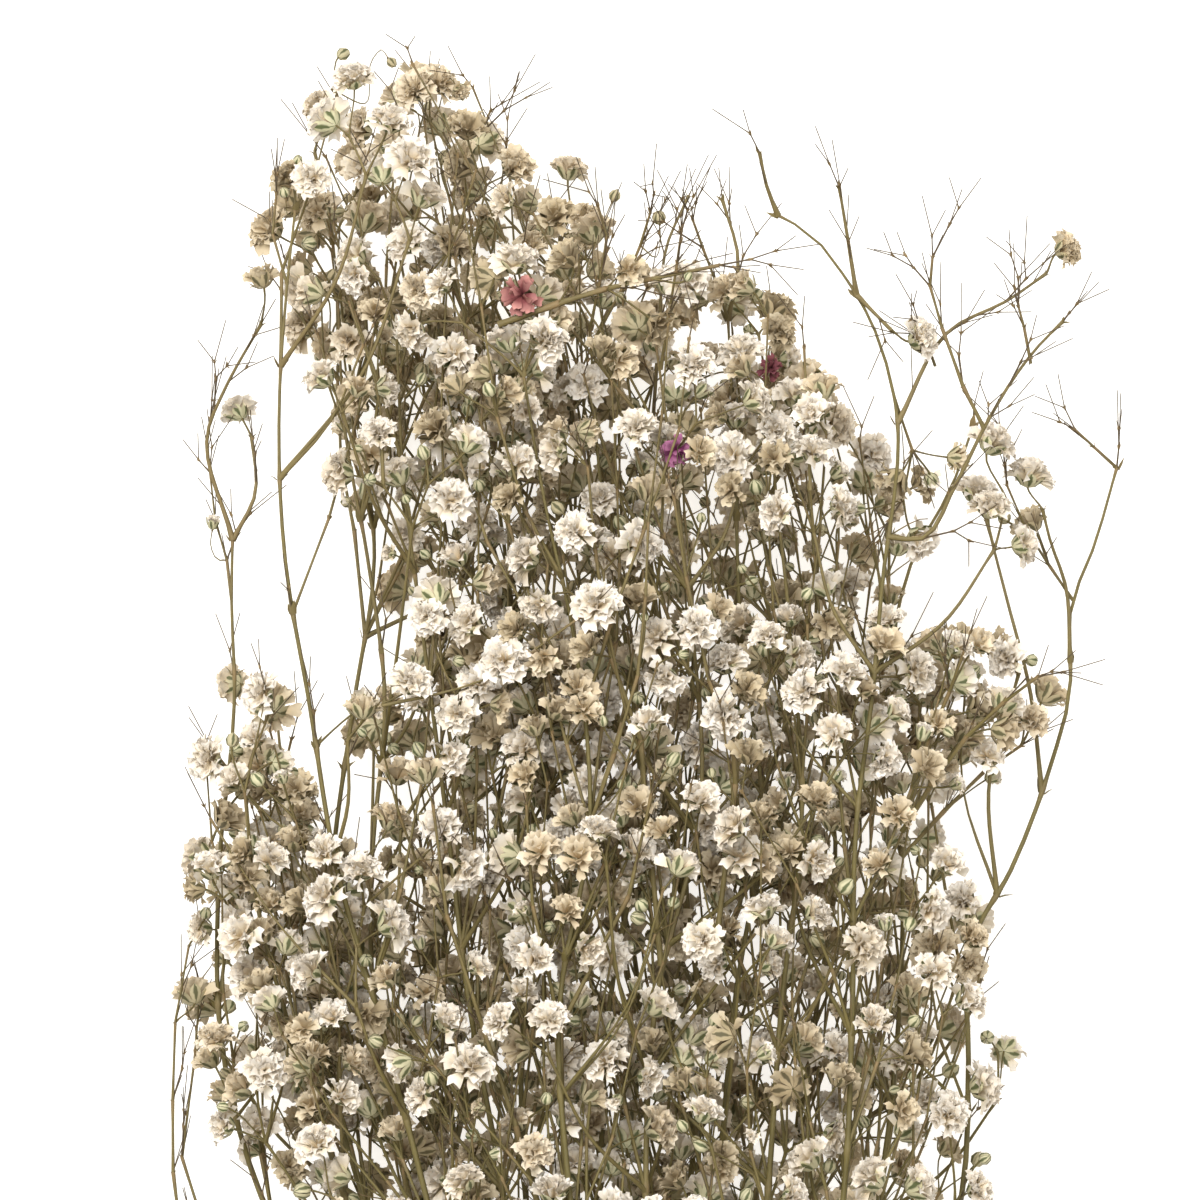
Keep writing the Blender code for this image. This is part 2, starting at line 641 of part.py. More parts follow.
def flower_on(bm, face, facing, radius, lobes):
    """Lofts a flower from the corners of a pedicel's end: a calyx, a lobed rim and a domed top."""
    foot = [v for v in face.verts]
    middle = np.mean([v.co for v in foot], axis=0) / MM
    start = azimuth_about(facing, np.array(foot[0].co) / MM - middle)
    centre = middle + facing * BLOOM_CENTRE * radius
    first, second = square_to(facing)
    count = 2 * lobes if lobes else 4
    rim = []
    for i in range(count):
        notch = lobes and i % 2
        reach, lift = (NOTCH, NOTCH_LIFT) if notch else (LOBE, LOBE_LIFT)
        turn = start + 2 * math.pi * (i - count / 8) / count
        around = math.cos(turn) * first + math.sin(turn) * second
        rim.append(bm.verts.new(Vector(centre + radius * (reach * around + lift * facing)) * MM))
    bmesh.ops.delete(bm, geom=[face], context="FACES_ONLY")
    near = [i * 3 // count for i in range(count)]
    for i in range(count):
        j = (i + 1) % count
        bm.faces.new((foot[near[i]], rim[j], rim[i]))
        if near[i] != near[j]:
            bm.faces.new((foot[near[i]], foot[near[j]], rim[j]))
    top = bm.faces.new(rim)
    poked(bm, top, centre + facing * radius * DOME)


def grow_face(bm, face, joint, shoot):
    """Draws one shoot, and all that grows from it, out of a face of its joint."""
    kind, points, end = shoot
    if kind in ("bloom", "bud"):
        facing, radius = end
        foot = points[0]
        cap = draw_out(bm, face, foot, unit(unit(foot - joint.place) + facing), PEDICEL_RADIUS)
        split_sides(cap, unit(foot - joint.place))
        flower_on(bm, cap, facing, radius, LOBES if kind == "bloom" else 0)
        return
    radius = BRANCH_RADIUS if kind == "branch" else TWIG_RADIUS
    route = [joint.place, *points, end.place]
    for before, here, after in zip(route, route[1:], route[2:]):
        face = draw_out(bm, face, here, unit(unit(here - before) + unit(after - here)), radius)
    grow_end(bm, face, end, radius)


def grow_end(bm, face, end, radius):
    """Ends a shoot at its joint, with one face for each of the joint's sectors, and grows what they bear."""
    cap = draw_out(bm, face, end.place, end.axis, radius * 1.15, end.azimuth(0) - math.pi / end.sectors)
    split_sides(cap, end.axis)
    if not end.shoots:
        return
    faces = poked(bm, cap, end.place + end.axis * radius * 1.1)
    chosen = {s: facing_most(faces, end.place, end.axis, end.azimuth(s)) for s in end.shoots}
    for sector, shoot in end.shoots.items():
        grow_face(bm, chosen[sector], end, shoot)


def branch_foot(bm, face, joint, shoot, stalk_radius):
    """Narrows the side of a swollen joint to the branch's own thickness, just clear of the stalk."""
    _, points, end = shoot
    reach = (points[0] if points else end.place) - joint.place
    away = unit(reach)
    slant = math.sqrt(max(0.05, 1 - float(away @ joint.axis) ** 2))
    distance = min((stalk_radius + BRANCH_RADIUS + 0.6) / slant, 0.5 * float(np.linalg.norm(reach)))
    return draw_out(bm, face, joint.place + away * distance, away, BRANCH_RADIUS)


def grow_knuckle(bm, face, joint, radius):
    """A swollen joint of the stalk, whose side faces bear its branches."""
    turn = joint.azimuth(0) - math.pi / 4
    low = joint.place - joint.axis * KNUCKLE_HALF
    high = joint.place + joint.axis * KNUCKLE_HALF
    face = draw_out(bm, face, low, joint.axis, radius * KNUCKLE_SWELL, turn)
    cap = draw_out(bm, face, high, joint.axis, radius * KNUCKLE_SWELL, turn)
    sides = [f for edge in cap.edges for f in edge.link_faces if f != cap]
    chosen = {s: facing_most(sides, joint.place, joint.axis, joint.azimuth(s)) for s in joint.shoots}
    for sector, shoot in joint.shoots.items():
        foot = branch_foot(bm, chosen[sector], joint, shoot, radius)
        grow_face(bm, foot, joint, shoot)
    return cap


def stalk_mesh(stalk):
    """The whole stem as one mesh, drawn out of a short prism at the cut end."""
    bm = bmesh.new()
    points = [point for point, _ in stalk.rings]
    butt, second = points[0], points[1]
    axis = unit(second - butt)
    place = Matrix.Translation(Vector(butt + axis * BUTT_LENGTH / 2) * MM)
    turn = Vector(axis).to_track_quat("Z", "Y").to_matrix().to_4x4()
    bmesh.ops.create_cone(
        bm, cap_ends=True, segments=4, radius1=STALK_RADIUS * MM, radius2=STALK_RADIUS * MM,
        depth=BUTT_LENGTH * MM, matrix=place @ turn,
    )
    bm.normal_update()
    face = max(bm.faces, key=lambda f: f.normal @ Vector(axis))
    for i, (point, joint) in enumerate(stalk.rings[1:], 1):
        radius = radius_at(point[1])
        if joint is stalk.tip:
            grow_end(bm, face, joint, radius)
        elif joint and joint.shoots:
            face = grow_knuckle(bm, face, joint, radius)
        else:
            bend = unit(unit(points[i + 1] - point) + unit(point - points[i - 1]))
            face = draw_out(bm, face, point, bend, radius)
    for vertex in bm.verts:
        vertex.co.z = max(vertex.co.z, 0.0)
    bmesh.ops.triangulate(bm, faces=bm.faces)
    bmesh.ops.recalc_face_normals(bm, faces=bm.faces)
    return bm


# Objects


def material(name, colour, roughness):
    made = bpy.data.materials.new(name)
    made.use_nodes = True
    shader = made.node_tree.nodes["Principled BSDF"]
    shader.inputs["Base Color"].default_value = (*colour, 1.0)
    shader.inputs["Roughness"].default_value = roughness
    return made


def add_object(name, mesh, look, collection):
    obj = bpy.data.objects.new(name, mesh)
    mesh.materials.append(look)
    collection.objects.link(obj)
    return obj


def add_tie(look, collection):
    """The straw band round the waist: a profile turned about the bunch, with a side flat on the surface."""
    inner = tie_middle() - TIE_WALL
    outer = tie_middle() / math.cos(math.pi / TIE_SIDES)
    half, edge = TIE_WIDTH / 2, TIE_WIDTH / 2 - TIE_RIM
    profile = [(inner / math.cos(math.pi / TIE_SIDES), -half), (outer, -edge), (outer, edge)]
    profile += [(inner / math.cos(math.pi / TIE_SIDES), half)]
    mesh = bpy.data.meshes.new("tie")
    corners = [(r * MM, 0.0, y * MM) for r, y in profile]
    mesh.from_pydata(corners, [(0, 1), (1, 2), (2, 3), (3, 0)], [])
    obj = add_object("tie", mesh, look, collection)
    screw = obj.modifiers.new("turn", "SCREW")
    screw.steps = screw.render_steps = TIE_SIDES
    screw.use_merge_vertices = True
    screw.merge_threshold = 0.00001
    screw.use_normal_calculate = True
    middle = from_view((VIEW_X_PX, TIE_PX), tie_middle())
    half_side = Matrix.Rotation(math.pi / TIE_SIDES, 4, "Z")
    lying = Matrix.Rotation(-math.pi / 2, 4, "X")
    obj.matrix_world = Matrix.Translation(Vector(middle) * MM) @ lying @ half_side
    return obj


def add_floret(name, foot, facing, radius, look, collection):
    """A papery floret: a cone that stands on its tip, whose top is a cup with a lobed rim."""
    bm = bmesh.new()
    depth = FLORET_DEPTH * radius
    bmesh.ops.create_cone(
        bm, cap_ends=True, segments=2 * FLORET_LOBES, radius1=FLORET_FOOT * MM, radius2=LOBE * radius * MM,
        depth=depth * MM, matrix=Matrix.Translation((0.0, 0.0, depth / 2 * MM)),
    )
    bm.normal_update()
    top = max(bm.faces, key=lambda f: f.normal.z)
    for vertex in list(top.verts)[1::2]:
        vertex.co.x *= FLORET_NOTCH
        vertex.co.y *= FLORET_NOTCH
    poked(bm, top, (0.0, 0.0, FLORET_CUP * radius))
    bmesh.ops.triangulate(bm, faces=bm.faces)
    mesh = bpy.data.meshes.new(name)
    bm.to_mesh(mesh)
    bm.free()
    obj = add_object(name, mesh, look, collection)
    obj.location = Vector(foot) * MM
    obj.rotation_euler = Vector(facing).to_track_quat("Z", "Y").to_euler()
    return obj


def stand_at_origin(objects):
    """Moves everything so that the middle of the bunch's footprint is the origin."""
    bpy.context.view_layer.update()
    corners = [obj.matrix_world @ v.co for obj in objects for v in obj.data.vertices]
    xs, ys = ([c[i] for c in corners] for i in (0, 1))
    middle = Vector(((min(xs) + max(xs)) / 2, (min(ys) + max(ys)) / 2, 0.0))
    for obj in objects:
        obj.location -= middle


def main():
    for obj in list(bpy.data.objects):
        bpy.data.objects.remove(obj)
    bunch = bpy.data.collections.new("gypsophila_bunch")
    bpy.context.scene.collection.children.link(bunch)
    flower = material("dried_flower", (0.72, 0.64, 0.48), 0.9)
    straw = material("straw", (0.55, 0.42, 0.22), 0.8)
    stalks, thicket = grow_bunch()
    objects = []
    for name, stalk in stalks.items():
        bm = stalk_mesh(stalk)
        mesh = bpy.data.meshes.new(name)
        bm.to_mesh(mesh)
        bm.free()
        objects.append(add_object("stem_" + name, mesh, flower, bunch))
    objects.append(add_tie(straw, bunch))
    for name, place in lodge_florets(thicket).items():
        look = material("petal_" + name, FLORET_COLOURS[name], 0.9)
        objects.append(add_floret("floret_" + name, *place, look, bunch))
    stand_at_origin(objects)


main()
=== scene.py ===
# %% [markdown]
# # A tied bunch of dried gypsophila
# The object is a bunch of dried stems with small double flowers, held by straw twine and lying on a
# surface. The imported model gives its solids, where each flower has four plain lobes. Here every
# stem is drawn again from the rule that it grew by, so that each stalk and flower keeps its place,
# and gets its petals, sepals and fibres.

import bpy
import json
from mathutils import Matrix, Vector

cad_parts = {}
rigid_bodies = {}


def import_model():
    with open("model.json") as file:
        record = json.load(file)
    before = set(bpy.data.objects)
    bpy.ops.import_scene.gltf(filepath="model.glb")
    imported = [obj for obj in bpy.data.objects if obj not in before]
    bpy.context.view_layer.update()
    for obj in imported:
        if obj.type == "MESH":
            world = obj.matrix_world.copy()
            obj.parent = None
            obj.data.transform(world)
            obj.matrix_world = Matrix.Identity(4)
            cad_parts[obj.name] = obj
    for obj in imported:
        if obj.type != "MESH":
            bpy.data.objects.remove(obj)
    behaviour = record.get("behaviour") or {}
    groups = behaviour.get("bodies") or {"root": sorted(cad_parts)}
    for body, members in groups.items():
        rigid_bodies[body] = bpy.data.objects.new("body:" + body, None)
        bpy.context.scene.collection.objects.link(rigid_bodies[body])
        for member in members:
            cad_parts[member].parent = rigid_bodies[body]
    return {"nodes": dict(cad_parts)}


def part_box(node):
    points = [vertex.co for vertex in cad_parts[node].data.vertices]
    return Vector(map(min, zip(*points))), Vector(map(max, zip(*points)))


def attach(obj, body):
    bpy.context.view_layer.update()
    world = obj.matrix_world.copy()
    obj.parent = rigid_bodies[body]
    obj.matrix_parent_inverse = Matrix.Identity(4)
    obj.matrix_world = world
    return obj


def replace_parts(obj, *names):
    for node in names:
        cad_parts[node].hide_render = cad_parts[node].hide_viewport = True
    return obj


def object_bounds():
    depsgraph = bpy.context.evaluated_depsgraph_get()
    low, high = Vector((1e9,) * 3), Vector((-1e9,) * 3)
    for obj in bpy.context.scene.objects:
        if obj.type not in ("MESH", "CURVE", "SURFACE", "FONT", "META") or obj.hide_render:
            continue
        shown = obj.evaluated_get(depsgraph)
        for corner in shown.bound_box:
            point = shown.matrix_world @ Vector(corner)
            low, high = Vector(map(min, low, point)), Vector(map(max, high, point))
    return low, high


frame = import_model()
cad_low, cad_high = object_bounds()
print("solids:", len(frame["nodes"]))
print("size in mm:", [round(1000 * side, 1) for side in cad_high - cad_low])

# %% Modules
import json
import math
import random

import bpy
import numpy as np
from mathutils import Vector

# %% [markdown]
# A dried stem has a stalk that forks at swollen joints, again and again, until thin pedicels end in
# flowers. Placing some five hundred flowers by hand would be slow and would look regular. Instead a
# rule grows them with seeded draws, so the result is the same each time. These are its sizes, in
# millimetres, and the same as those of the solids.

# %% Sizes of the bunch
SEED = 20
MM = 0.001
PIXEL_MM = 0.18  # real size of one pixel of the reference view
VIEW_X_PX, VIEW_Y_PX = 600, 1200  # pixel of the view that is x 0, y 0
BUTT_PX = 2480
TIE_PX = 2050
LOWEST_JOINT_PX = 1500

# %% Sizes of the stalks
STALK_RADIUS = 1.05
STALK_TIP_RADIUS = 0.55
BRANCH_RADIUS = 0.52
TWIG_RADIUS = 0.42
FOOT_RADIUS, FOOT_LENGTH = 1.2, 4.0  # a branch is thicker where it leaves the stalk
PEDICEL_RADIUS = 0.36
CLEAR = 0.35
LEAST_FORK = 0.5  # radians between two shoots of one joint
SLOT_PITCH = 2.7
ROUTE_STEP = 4.0
BARE_STEP = 36.0
TIP_PX = 200  # pixel row where a stalk is thinnest
TIP_POINTS = 4  # points of the route between the last joint and the tip
SECTORS = 4  # of a joint; each may bear one shoot
KNUCKLE_SWELL = 1.3

# %% Sizes of the tie and the cut ends
TIE_ROWS = (3, 4, 5, 4, 3)
ROW_HEIGHT = math.sqrt(0.75)  # of packed circles, in their diameters
TIE_WALL = 1.3
TIE_WIDTH = 14.0
TIE_GAP = 0.5
WAIST_HALF = 9.0
BUTT_FLARE_X, BUTT_FLARE_Z = 2.1, 1.25
BUTT_STRAY = 9.0  # how far a cut end may lie above or below the middle one

# %% Sizes of the flowers and of what carries them
BLOOM_RADIUS = (3.4, 4.7)
BUD_RADIUS = (1.5, 2.1)
BLOOM_CENTRE = 0.70  # height of the flower's middle above its foot, in radii
DEPTH_WEIGHT = 0.35  # how much less a gap counts along the view than across it
TWIG_LENGTH = (7.0, 15.0)
BRANCH_LENGTH = (20.0, 50.0)
NODE_STEP, NODE_STRAY = 20.0, (0.85, 1.15)
BRANCH_TRIES, TWIG_TRIES, FLOWER_TRIES, GOAL_TRIES = 70, 8, 16, 150
BRANCH_LIMIT = 100
TWIG_LIMIT = 165
BLOOM_LIMIT = 440
BUD_LIMIT = 36
HEAD_HALF_DEPTH = 37.0
HEAD_MIDDLE = 36.0
HEAD_HALF_WIDTH = 84.0
WIDEST_SHARE = 0.93  # beyond this share of its half width the head gets no thinner

# %% Sizes of the florets
FLORETS = {"pink": ((515, 290), 3.1), "maroon": ((740, 355), 2.0), "purple": ((687, 472), 2.5)}
FLORET_GAP = 0.4  # to the twig that it lies on
FLORET_REACH = 8.0  # how far from its pixel it may lie, in millimetres
FLORET_TRIES = 12
FLORET_ON_TWIG = (0.1, 0.9)  # shares of its twig's length between which it lies
FLORET_TILT = 0.3  # how far it may face away from straight up
FLORET_COVER = 0.6  # share of its radius within which what lies above hides it
FLORET_ASIDE, FLORET_RISE = 0.1, 0.02  # cost of a millimetre aside, and gain of one higher up
FLORET_ROOM = 0.7  # share of the gap that it keeps to everything
FLORET_SEED = 7

# %% [markdown]
# Each stalk follows a given route, as pixels of the reference view. A few shoots that stand clear
# of the head are listed one by one as well, because their outline against the background is what
# one sees first.

# %% Routes of the stalks
STALKS = {
    "left_long": (58, [
        (470, 1360), (432, 1200), (385, 1020), (340, 860), (314, 702), (290, 560), (284, 420),
        (292, 290), (300, 215),
    ]),
    "front_middle": (64, [
        (590, 1360), (572, 1200), (560, 1000), (590, 820), (575, 640), (545, 500), (525, 380),
    ]),
    "right_fork": (60, [
        (810, 1360), (838, 1200), (848, 1000), (852, 820), (868, 690), (876, 598), (889, 400),
        (868, 330), (836, 276), (806, 240), (775, 222),
    ]),
    "left_low": (50, [(400, 1360), (350, 1200), (298, 1040), (262, 910), (248, 780)]),
    "left_inner": (47, [
        (520, 1360), (505, 1200), (470, 1000), (448, 820), (425, 640), (405, 480), (398, 330),
    ]),
    "middle_high": (52, [
        (650, 1360), (645, 1200), (655, 1000), (700, 800), (690, 620), (672, 470), (655, 345),
    ]),
    "right_inner": (48, [
        (745, 1360), (765, 1200), (780, 1000), (800, 820), (790, 640), (775, 500), (765, 385),
    ]),
    "far_left": (34, [
        (360, 1360), (262, 1200), (222, 1050), (218, 880), (234, 690), (231, 600), (232, 540),
    ]),
    "left_middle": (37, [
        (455, 1360), (410, 1200), (375, 1020), (372, 860), (385, 700), (368, 560), (345, 430),
        (338, 300),
    ]),
    "centre": (38, [
        (600, 1360), (600, 1200), (610, 1000), (640, 820), (625, 640), (600, 480), (590, 330),
    ]),
    "right_middle": (36, [
        (720, 1360), (720, 1200), (735, 1000), (762, 820), (740, 620), (735, 460), (728, 320),
    ]),
    "far_right": (38, [
        (900, 1360), (960, 1200), (968, 1060), (970, 945), (1012, 866), (1050, 765), (1068, 700),
        (1072, 600), (1092, 550), (1116, 468),
    ]),
    "left_back": (22, [
        (430, 1360), (360, 1200), (320, 1020), (330, 860), (352, 700), (372, 560), (352, 400),
        (330, 240),
    ]),
    "high_back": (24, [
        (540, 1360), (525, 1200), (520, 1000), (530, 820), (515, 640), (490, 440), (475, 260),
        (462, 165),
    ]),
    "middle_back": (23, [
        (670, 1360), (690, 1200), (700, 1000), (670, 820), (660, 640), (640, 470), (618, 300),
    ]),
    "right_back": (24, [
        (830, 1360), (880, 1200), (900, 1040), (905, 880), (890, 700), (915, 560), (955, 485),
        (976, 425),
    ]),
    "top_left": (10, [
        (500, 1360), (460, 1200), (440, 1000), (450, 820), (455, 640), (430, 450), (400, 270),
        (375, 160),
    ]),
    "top_middle": (9, [
        (610, 1360), (625, 1200), (640, 1000), (600, 820), (585, 640), (565, 450), (555, 270),
    ]),
    "right_deep": (10, [
        (750, 1360), (790, 1200), (820, 1020), (840, 860), (820, 700), (822, 560), (830, 440),
    ]),
}

# %% Shoots listed one by one, and the head's outline
SHOOTS = [
    ("right_fork", (889, 400), [(945, 334), (1003, 304), (1040, 278)], 56, "bloom", (1082, 288)),
    ("right_fork", (876, 598), [
        (915, 540), (948, 488), (976, 432), (1000, 390), (1030, 350), (1052, 328),
    ], 70, "", None),
    ("right_fork", (868, 330), [(884, 334)], 64, "bloom", (876, 300)),
    ("right_fork", (775, 222), [(764, 196), (756, 162)], 66, "", None),
    ("right_fork", (836, 276), [(842, 240), (834, 196)], 66, "", None),
    ("far_left", (232, 540), [(254, 494), (250, 436)], 30, "bloom", (245, 404)),
    ("far_left", (232, 540), [(208, 430), (226, 388), (262, 325)], 40, "", None),
    ("far_right", (1048, 775), [(1030, 690), (1008, 600), (988, 520)], 30, "bloom", (968, 480)),
    ("far_right", (1070, 640), [(1064, 585), (1048, 540), (1040, 510)], 44, "bloom", (1040, 470)),
    ("middle_back", (640, 470), [(660, 330), (668, 240), (690, 190)], 16, "", None),
    ("right_middle", (728, 320), [(738, 260), (722, 200)], 38, "", None),
    ("top_middle", (555, 270), [(560, 232), (570, 205)], 9, "bloom", (572, 157)),
    ("left_back", (330, 240), [(322, 190), (312, 148)], 24, "bloom", (296, 96)),
    ("top_left", (375, 160), [(347, 118), (330, 82)], 12, "bud", (352, 42)),
]
HEAD_OUTLINE = [
    (262, 300), (258, 238), (298, 165), (340, 95), (385, 62), (470, 70), (505, 130), (530, 188),
    (585, 195), (612, 262), (700, 278), (785, 300), (828, 395), (868, 445), (960, 440), (1030, 435),
    (1095, 462), (1080, 505), (1040, 560), (960, 560), (905, 585), (880, 638), (960, 628),
    (1050, 665), (1052, 700), (1010, 780), (960, 800), (945, 850), (968, 900), (985, 960),
    (985, 1030), (1012, 1045), (1005, 1130), (975, 1200), (900, 1310), (780, 1380), (430, 1380),
    (330, 1300), (290, 1190), (215, 1120), (190, 1000), (188, 860), (200, 740), (225, 685),
    (280, 690), (305, 790), (340, 860), (392, 850), (398, 760), (350, 750), (348, 705), (412, 680),
    (430, 600), (350, 575), (332, 520), (336, 400), (300, 345),
]

# %% [markdown]
# The rule needs a little geometry: directions that lean away from an axis, a test for the head's
# outline, and the gaps between line segments and between points.

# %% Directions and places
UPRIGHT = 0.9  # above this height, a direction counts as upright


def unit(vector):
    """The direction of a vector."""
    return vector / np.linalg.norm(vector)


def square_to(axis):
    """Two unit vectors that make a right-handed frame with the axis."""
    guide = (0.0, 0.0, 1.0) if abs(axis[2]) < UPRIGHT else (1.0, 0.0, 0.0)
    first = unit(np.cross(axis, guide))
    return first, np.cross(axis, first)


def aside_of(axis, azimuth):
    """The direction square to an axis that has the given azimuth about it."""
    first, second = square_to(axis)
    return math.cos(azimuth) * first + math.sin(azimuth) * second


def leaning(axis, lean, azimuth):
    """The direction that leans away from an axis by an angle, towards an azimuth."""
    return math.cos(lean) * axis + math.sin(lean) * aside_of(axis, azimuth)


def azimuth_about(axis, vector):
    """The azimuth of a vector about an axis."""
    first, second = square_to(axis)
    return math.atan2(vector @ second, vector @ first)


def any_way(axis, lean, draw):
    """A direction that leans away from an axis, to any side."""
    return leaning(axis, draw.uniform(*lean), draw.uniform(0, 2 * math.pi))


def strays(spread, draw):
    """A small random step in space."""
    return np.array([draw.gauss(0, spread) for _ in range(3)])


def from_view(pixel, height=0.0):
    """A pixel of the view as a point of the bunch, in millimetres."""
    return np.array([(pixel[0] - VIEW_X_PX) * PIXEL_MM, (VIEW_Y_PX - pixel[1]) * PIXEL_MM, height])


def rising(pixels, low, high):
    """Pixels of the view as points that rise evenly, one step above the first height and on."""
    heights = np.linspace(low, high, len(pixels) + 1)[1:]
    return [from_view(pixel, height) for pixel, height in zip(pixels, heights)]


def to_view(point):
    """The pixel of the view where a point of the bunch is seen."""
    return point[0] / PIXEL_MM + VIEW_X_PX, VIEW_Y_PX - point[1] / PIXEL_MM


def level_of(row):
    """How far up the bunch a pixel row is."""
    return from_view((VIEW_X_PX, row))[1]


def in_head(point):
    """Whether a point is within the head's outline and depth."""
    x, y = to_view(point)
    inside = False
    for (x0, y0), (x1, y1) in zip(HEAD_OUTLINE, HEAD_OUTLINE[1:] + HEAD_OUTLINE[:1]):
        if (y0 > y) != (y1 > y) and x < x0 + (y - y0) * (x1 - x0) / (y1 - y0):
            inside = not inside
    aside = min(abs(point[0]) / HEAD_HALF_WIDTH, WIDEST_SHARE)
    half = HEAD_HALF_DEPTH * math.sqrt(1 - aside * aside)
    return inside and abs(point[2] - HEAD_MIDDLE) < half


# %% Gaps between segments and between points
NO_LENGTH, PARALLEL = 1e-12, 1e-9  # below these a segment is a point, or two are parallel
FREE = 99.0  # the gap round a segment that has nothing near it


def gaps_to(start, end, starts, ends):
    """Distances from one line segment to many."""
    along, others = end - start, ends - starts
    between = start - starts
    a = along @ along
    e = np.maximum((others * others).sum(1), NO_LENGTH)
    f = (others * between).sum(1)
    c, b = between @ along, others @ along
    apart = a * e - b * b
    nearest = np.clip((b * f - c * e) / np.maximum(apart, PARALLEL), 0, 1)
    s = np.where(apart > PARALLEL, nearest, 0.0)
    t = (b * s + f) / e
    inside = np.clip(t, 0, 1)
    if a > NO_LENGTH:
        s = np.where(t == inside, s, np.clip((b * inside - c) / a, 0, 1))
    return np.linalg.norm(between + np.outer(s, along) - others * inside[:, None], axis=1)


def space_round(point, others):
    """How far the nearest of other points is, where a gap along the view counts less."""
    if not others:
        return FREE
    apart = (np.array(others) - point) * (1.0, 1.0, DEPTH_WEIGHT)
    return np.linalg.norm(apart, axis=1).min()


class Thicket:
    """Every shoot and flower so far, as thick line segments that know the joints they end at."""

    def __init__(self, room=9000):
        self.count = 0
        self.starts, self.ends = np.zeros((room, 3)), np.zeros((room, 3))
        self.radii, self.joints = np.zeros(room), np.full((room, 2), -1)

    def add(self, start, end, radius, joints):
        """Takes up a segment, with the numbers of the joints at its ends, or -1."""
        n = self.count
        self.starts[n], self.ends[n], self.radii[n], self.joints[n] = start, end, radius, joints
        self.count += 1

    def room(self, start, end, radius, joint=-2):
        """The free gap round a new segment, leaving out what it joins at that joint."""
        n = self.count
        gaps = gaps_to(start, end, self.starts[:n], self.ends[:n]) - self.radii[:n] - radius
        gaps[(self.joints[:n] == joint).any(1)] = FREE
        return gaps.min(initial=FREE)


# %% [markdown]
# A joint is where shoots part. It divides its circle into sectors, and each sector bears one shoot
# at most.

# %% Joints
class Joint:
    """Where shoots part: its place, its direction, its sectors and what grows from each."""

    made = 0

    def __init__(self, place, axis, sectors, phase):
        self.place, self.axis, self.sectors, self.phase = place, axis, sectors, phase
        self.shoots, self.ways = {}, []
        self.extras, self.fine, self.sprays = [], [], []
        self.number = Joint.made
        Joint.made += 1

    def azimuth(self, sector):
        """The azimuth of a sector's middle."""
        return self.phase + 2 * math.pi * sector / self.sectors

    def bear(self, sector, kind, points, end):
        """Takes up a shoot: its kind, the points on its way, and what is at its end."""
        self.shoots[sector] = (kind, points, end)
        first = points[0] if points else end.place
        self.ways.append(unit(first - self.place))

    def has_room(self, way):
        """Whether a new shoot that way parts well from the others."""
        return all(way @ other < math.cos(LEAST_FORK) for other in self.ways)


def new_joint(place, way, sectors, draw):
    """A joint at the end of what comes from that way, with its sectors turned at random."""
    return Joint(place, unit(way), sectors, draw.uniform(0, math.pi))


# %% Smooth routes
def distances_along(line):
    """How far each point of a line is from its start, along the line."""
    return np.concatenate([[0], np.cumsum(np.linalg.norm(np.diff(line, axis=0), axis=1))])


def points_at(wanted, length, line):
    """The points of a line at the wanted distances along it."""
    return np.array([np.interp(wanted, length, line[:, i]) for i in range(3)]).T


def smooth_route(points, step):
    """Evenly spaced points along a smooth curve through the given ones."""
    points = np.array(points)
    knots = distances_along(points)
    spans = np.diff(knots)[:, None]
    slopes = np.diff(points, axis=0) / spans
    inner = (slopes[:-1] * spans[1:] + slopes[1:] * spans[:-1]) / (spans[:-1] + spans[1:])
    tangents = np.vstack([slopes[:1], inner, slopes[-1:]])
    wanted = np.linspace(0, knots[-1], round(knots[-1] / step) + 1)
    i = np.clip(np.searchsorted(knots, wanted, side="right") - 1, 0, len(spans) - 1)
    u = (wanted[:, None] - knots[i, None]) / spans[i]
    rise = u * u * (3 - 2 * u)
    leave, arrive = u * (1 - u) ** 2 * spans[i], u * u * (u - 1) * spans[i]
    curve = points[i] * (1 - rise) + points[i + 1] * rise
    return curve + tangents[i] * leave + tangents[i + 1] * arrive


def tie_middle():
    """Height of the tie's middle: its flat underside lies on the surface."""
    return 2 * SLOT_PITCH + STALK_RADIUS + TIE_GAP + TIE_WALL


def stalk_slots():
    """Each stalk's place in the tie, packed in rows: deep stalks low, and left stalks left."""
    by_height = sorted(STALKS, key=lambda name: STALKS[name][0])
    slots = {}
    for row, count in enumerate(TIE_ROWS):
        first = sum(TIE_ROWS[:row])
        names = sorted(by_height[first : first + count], key=lambda name: STALKS[name][1][0][0])
        for column, name in enumerate(names):
            aside = (column - (count - 1) / 2) * SLOT_PITCH
            rise = (row - len(TIE_ROWS) // 2) * SLOT_PITCH * ROW_HEIGHT
            slots[name] = np.array([aside, 0.0, rise])
    return slots


def lay_stalks(draw):
    """Each stalk's points, from its cut end through the tie to its tip."""
    stalks = {}
    for name, slot in stalk_slots().items():
        height, route = STALKS[name]
        centre = from_view((VIEW_X_PX, TIE_PX), tie_middle())
        butt = from_view((VIEW_X_PX, BUTT_PX), tie_middle())
        stray = draw.uniform(-BUTT_STRAY, BUTT_STRAY)
        butt += slot * (BUTT_FLARE_X, 0, BUTT_FLARE_Z) + (0, stray, 0)
        waist = [centre + slot - (0, WAIST_HALF, 0), centre + slot + (0, WAIST_HALF, 0)]
        head = [from_view(pixel, height) for pixel in route]
        stalks[name] = smooth_route([butt, *waist, *head], ROUTE_STEP)
    return stalks


def radius_at(stalk_y):
    """A stalk tapers from its cut end to the tips."""
    low, high = level_of(BUTT_PX), level_of(TIP_PX)
    share = min(1.0, max(0.0, (stalk_y - low) / (high - low)))
    return STALK_RADIUS + (STALK_TIP_RADIUS - STALK_RADIUS) * share


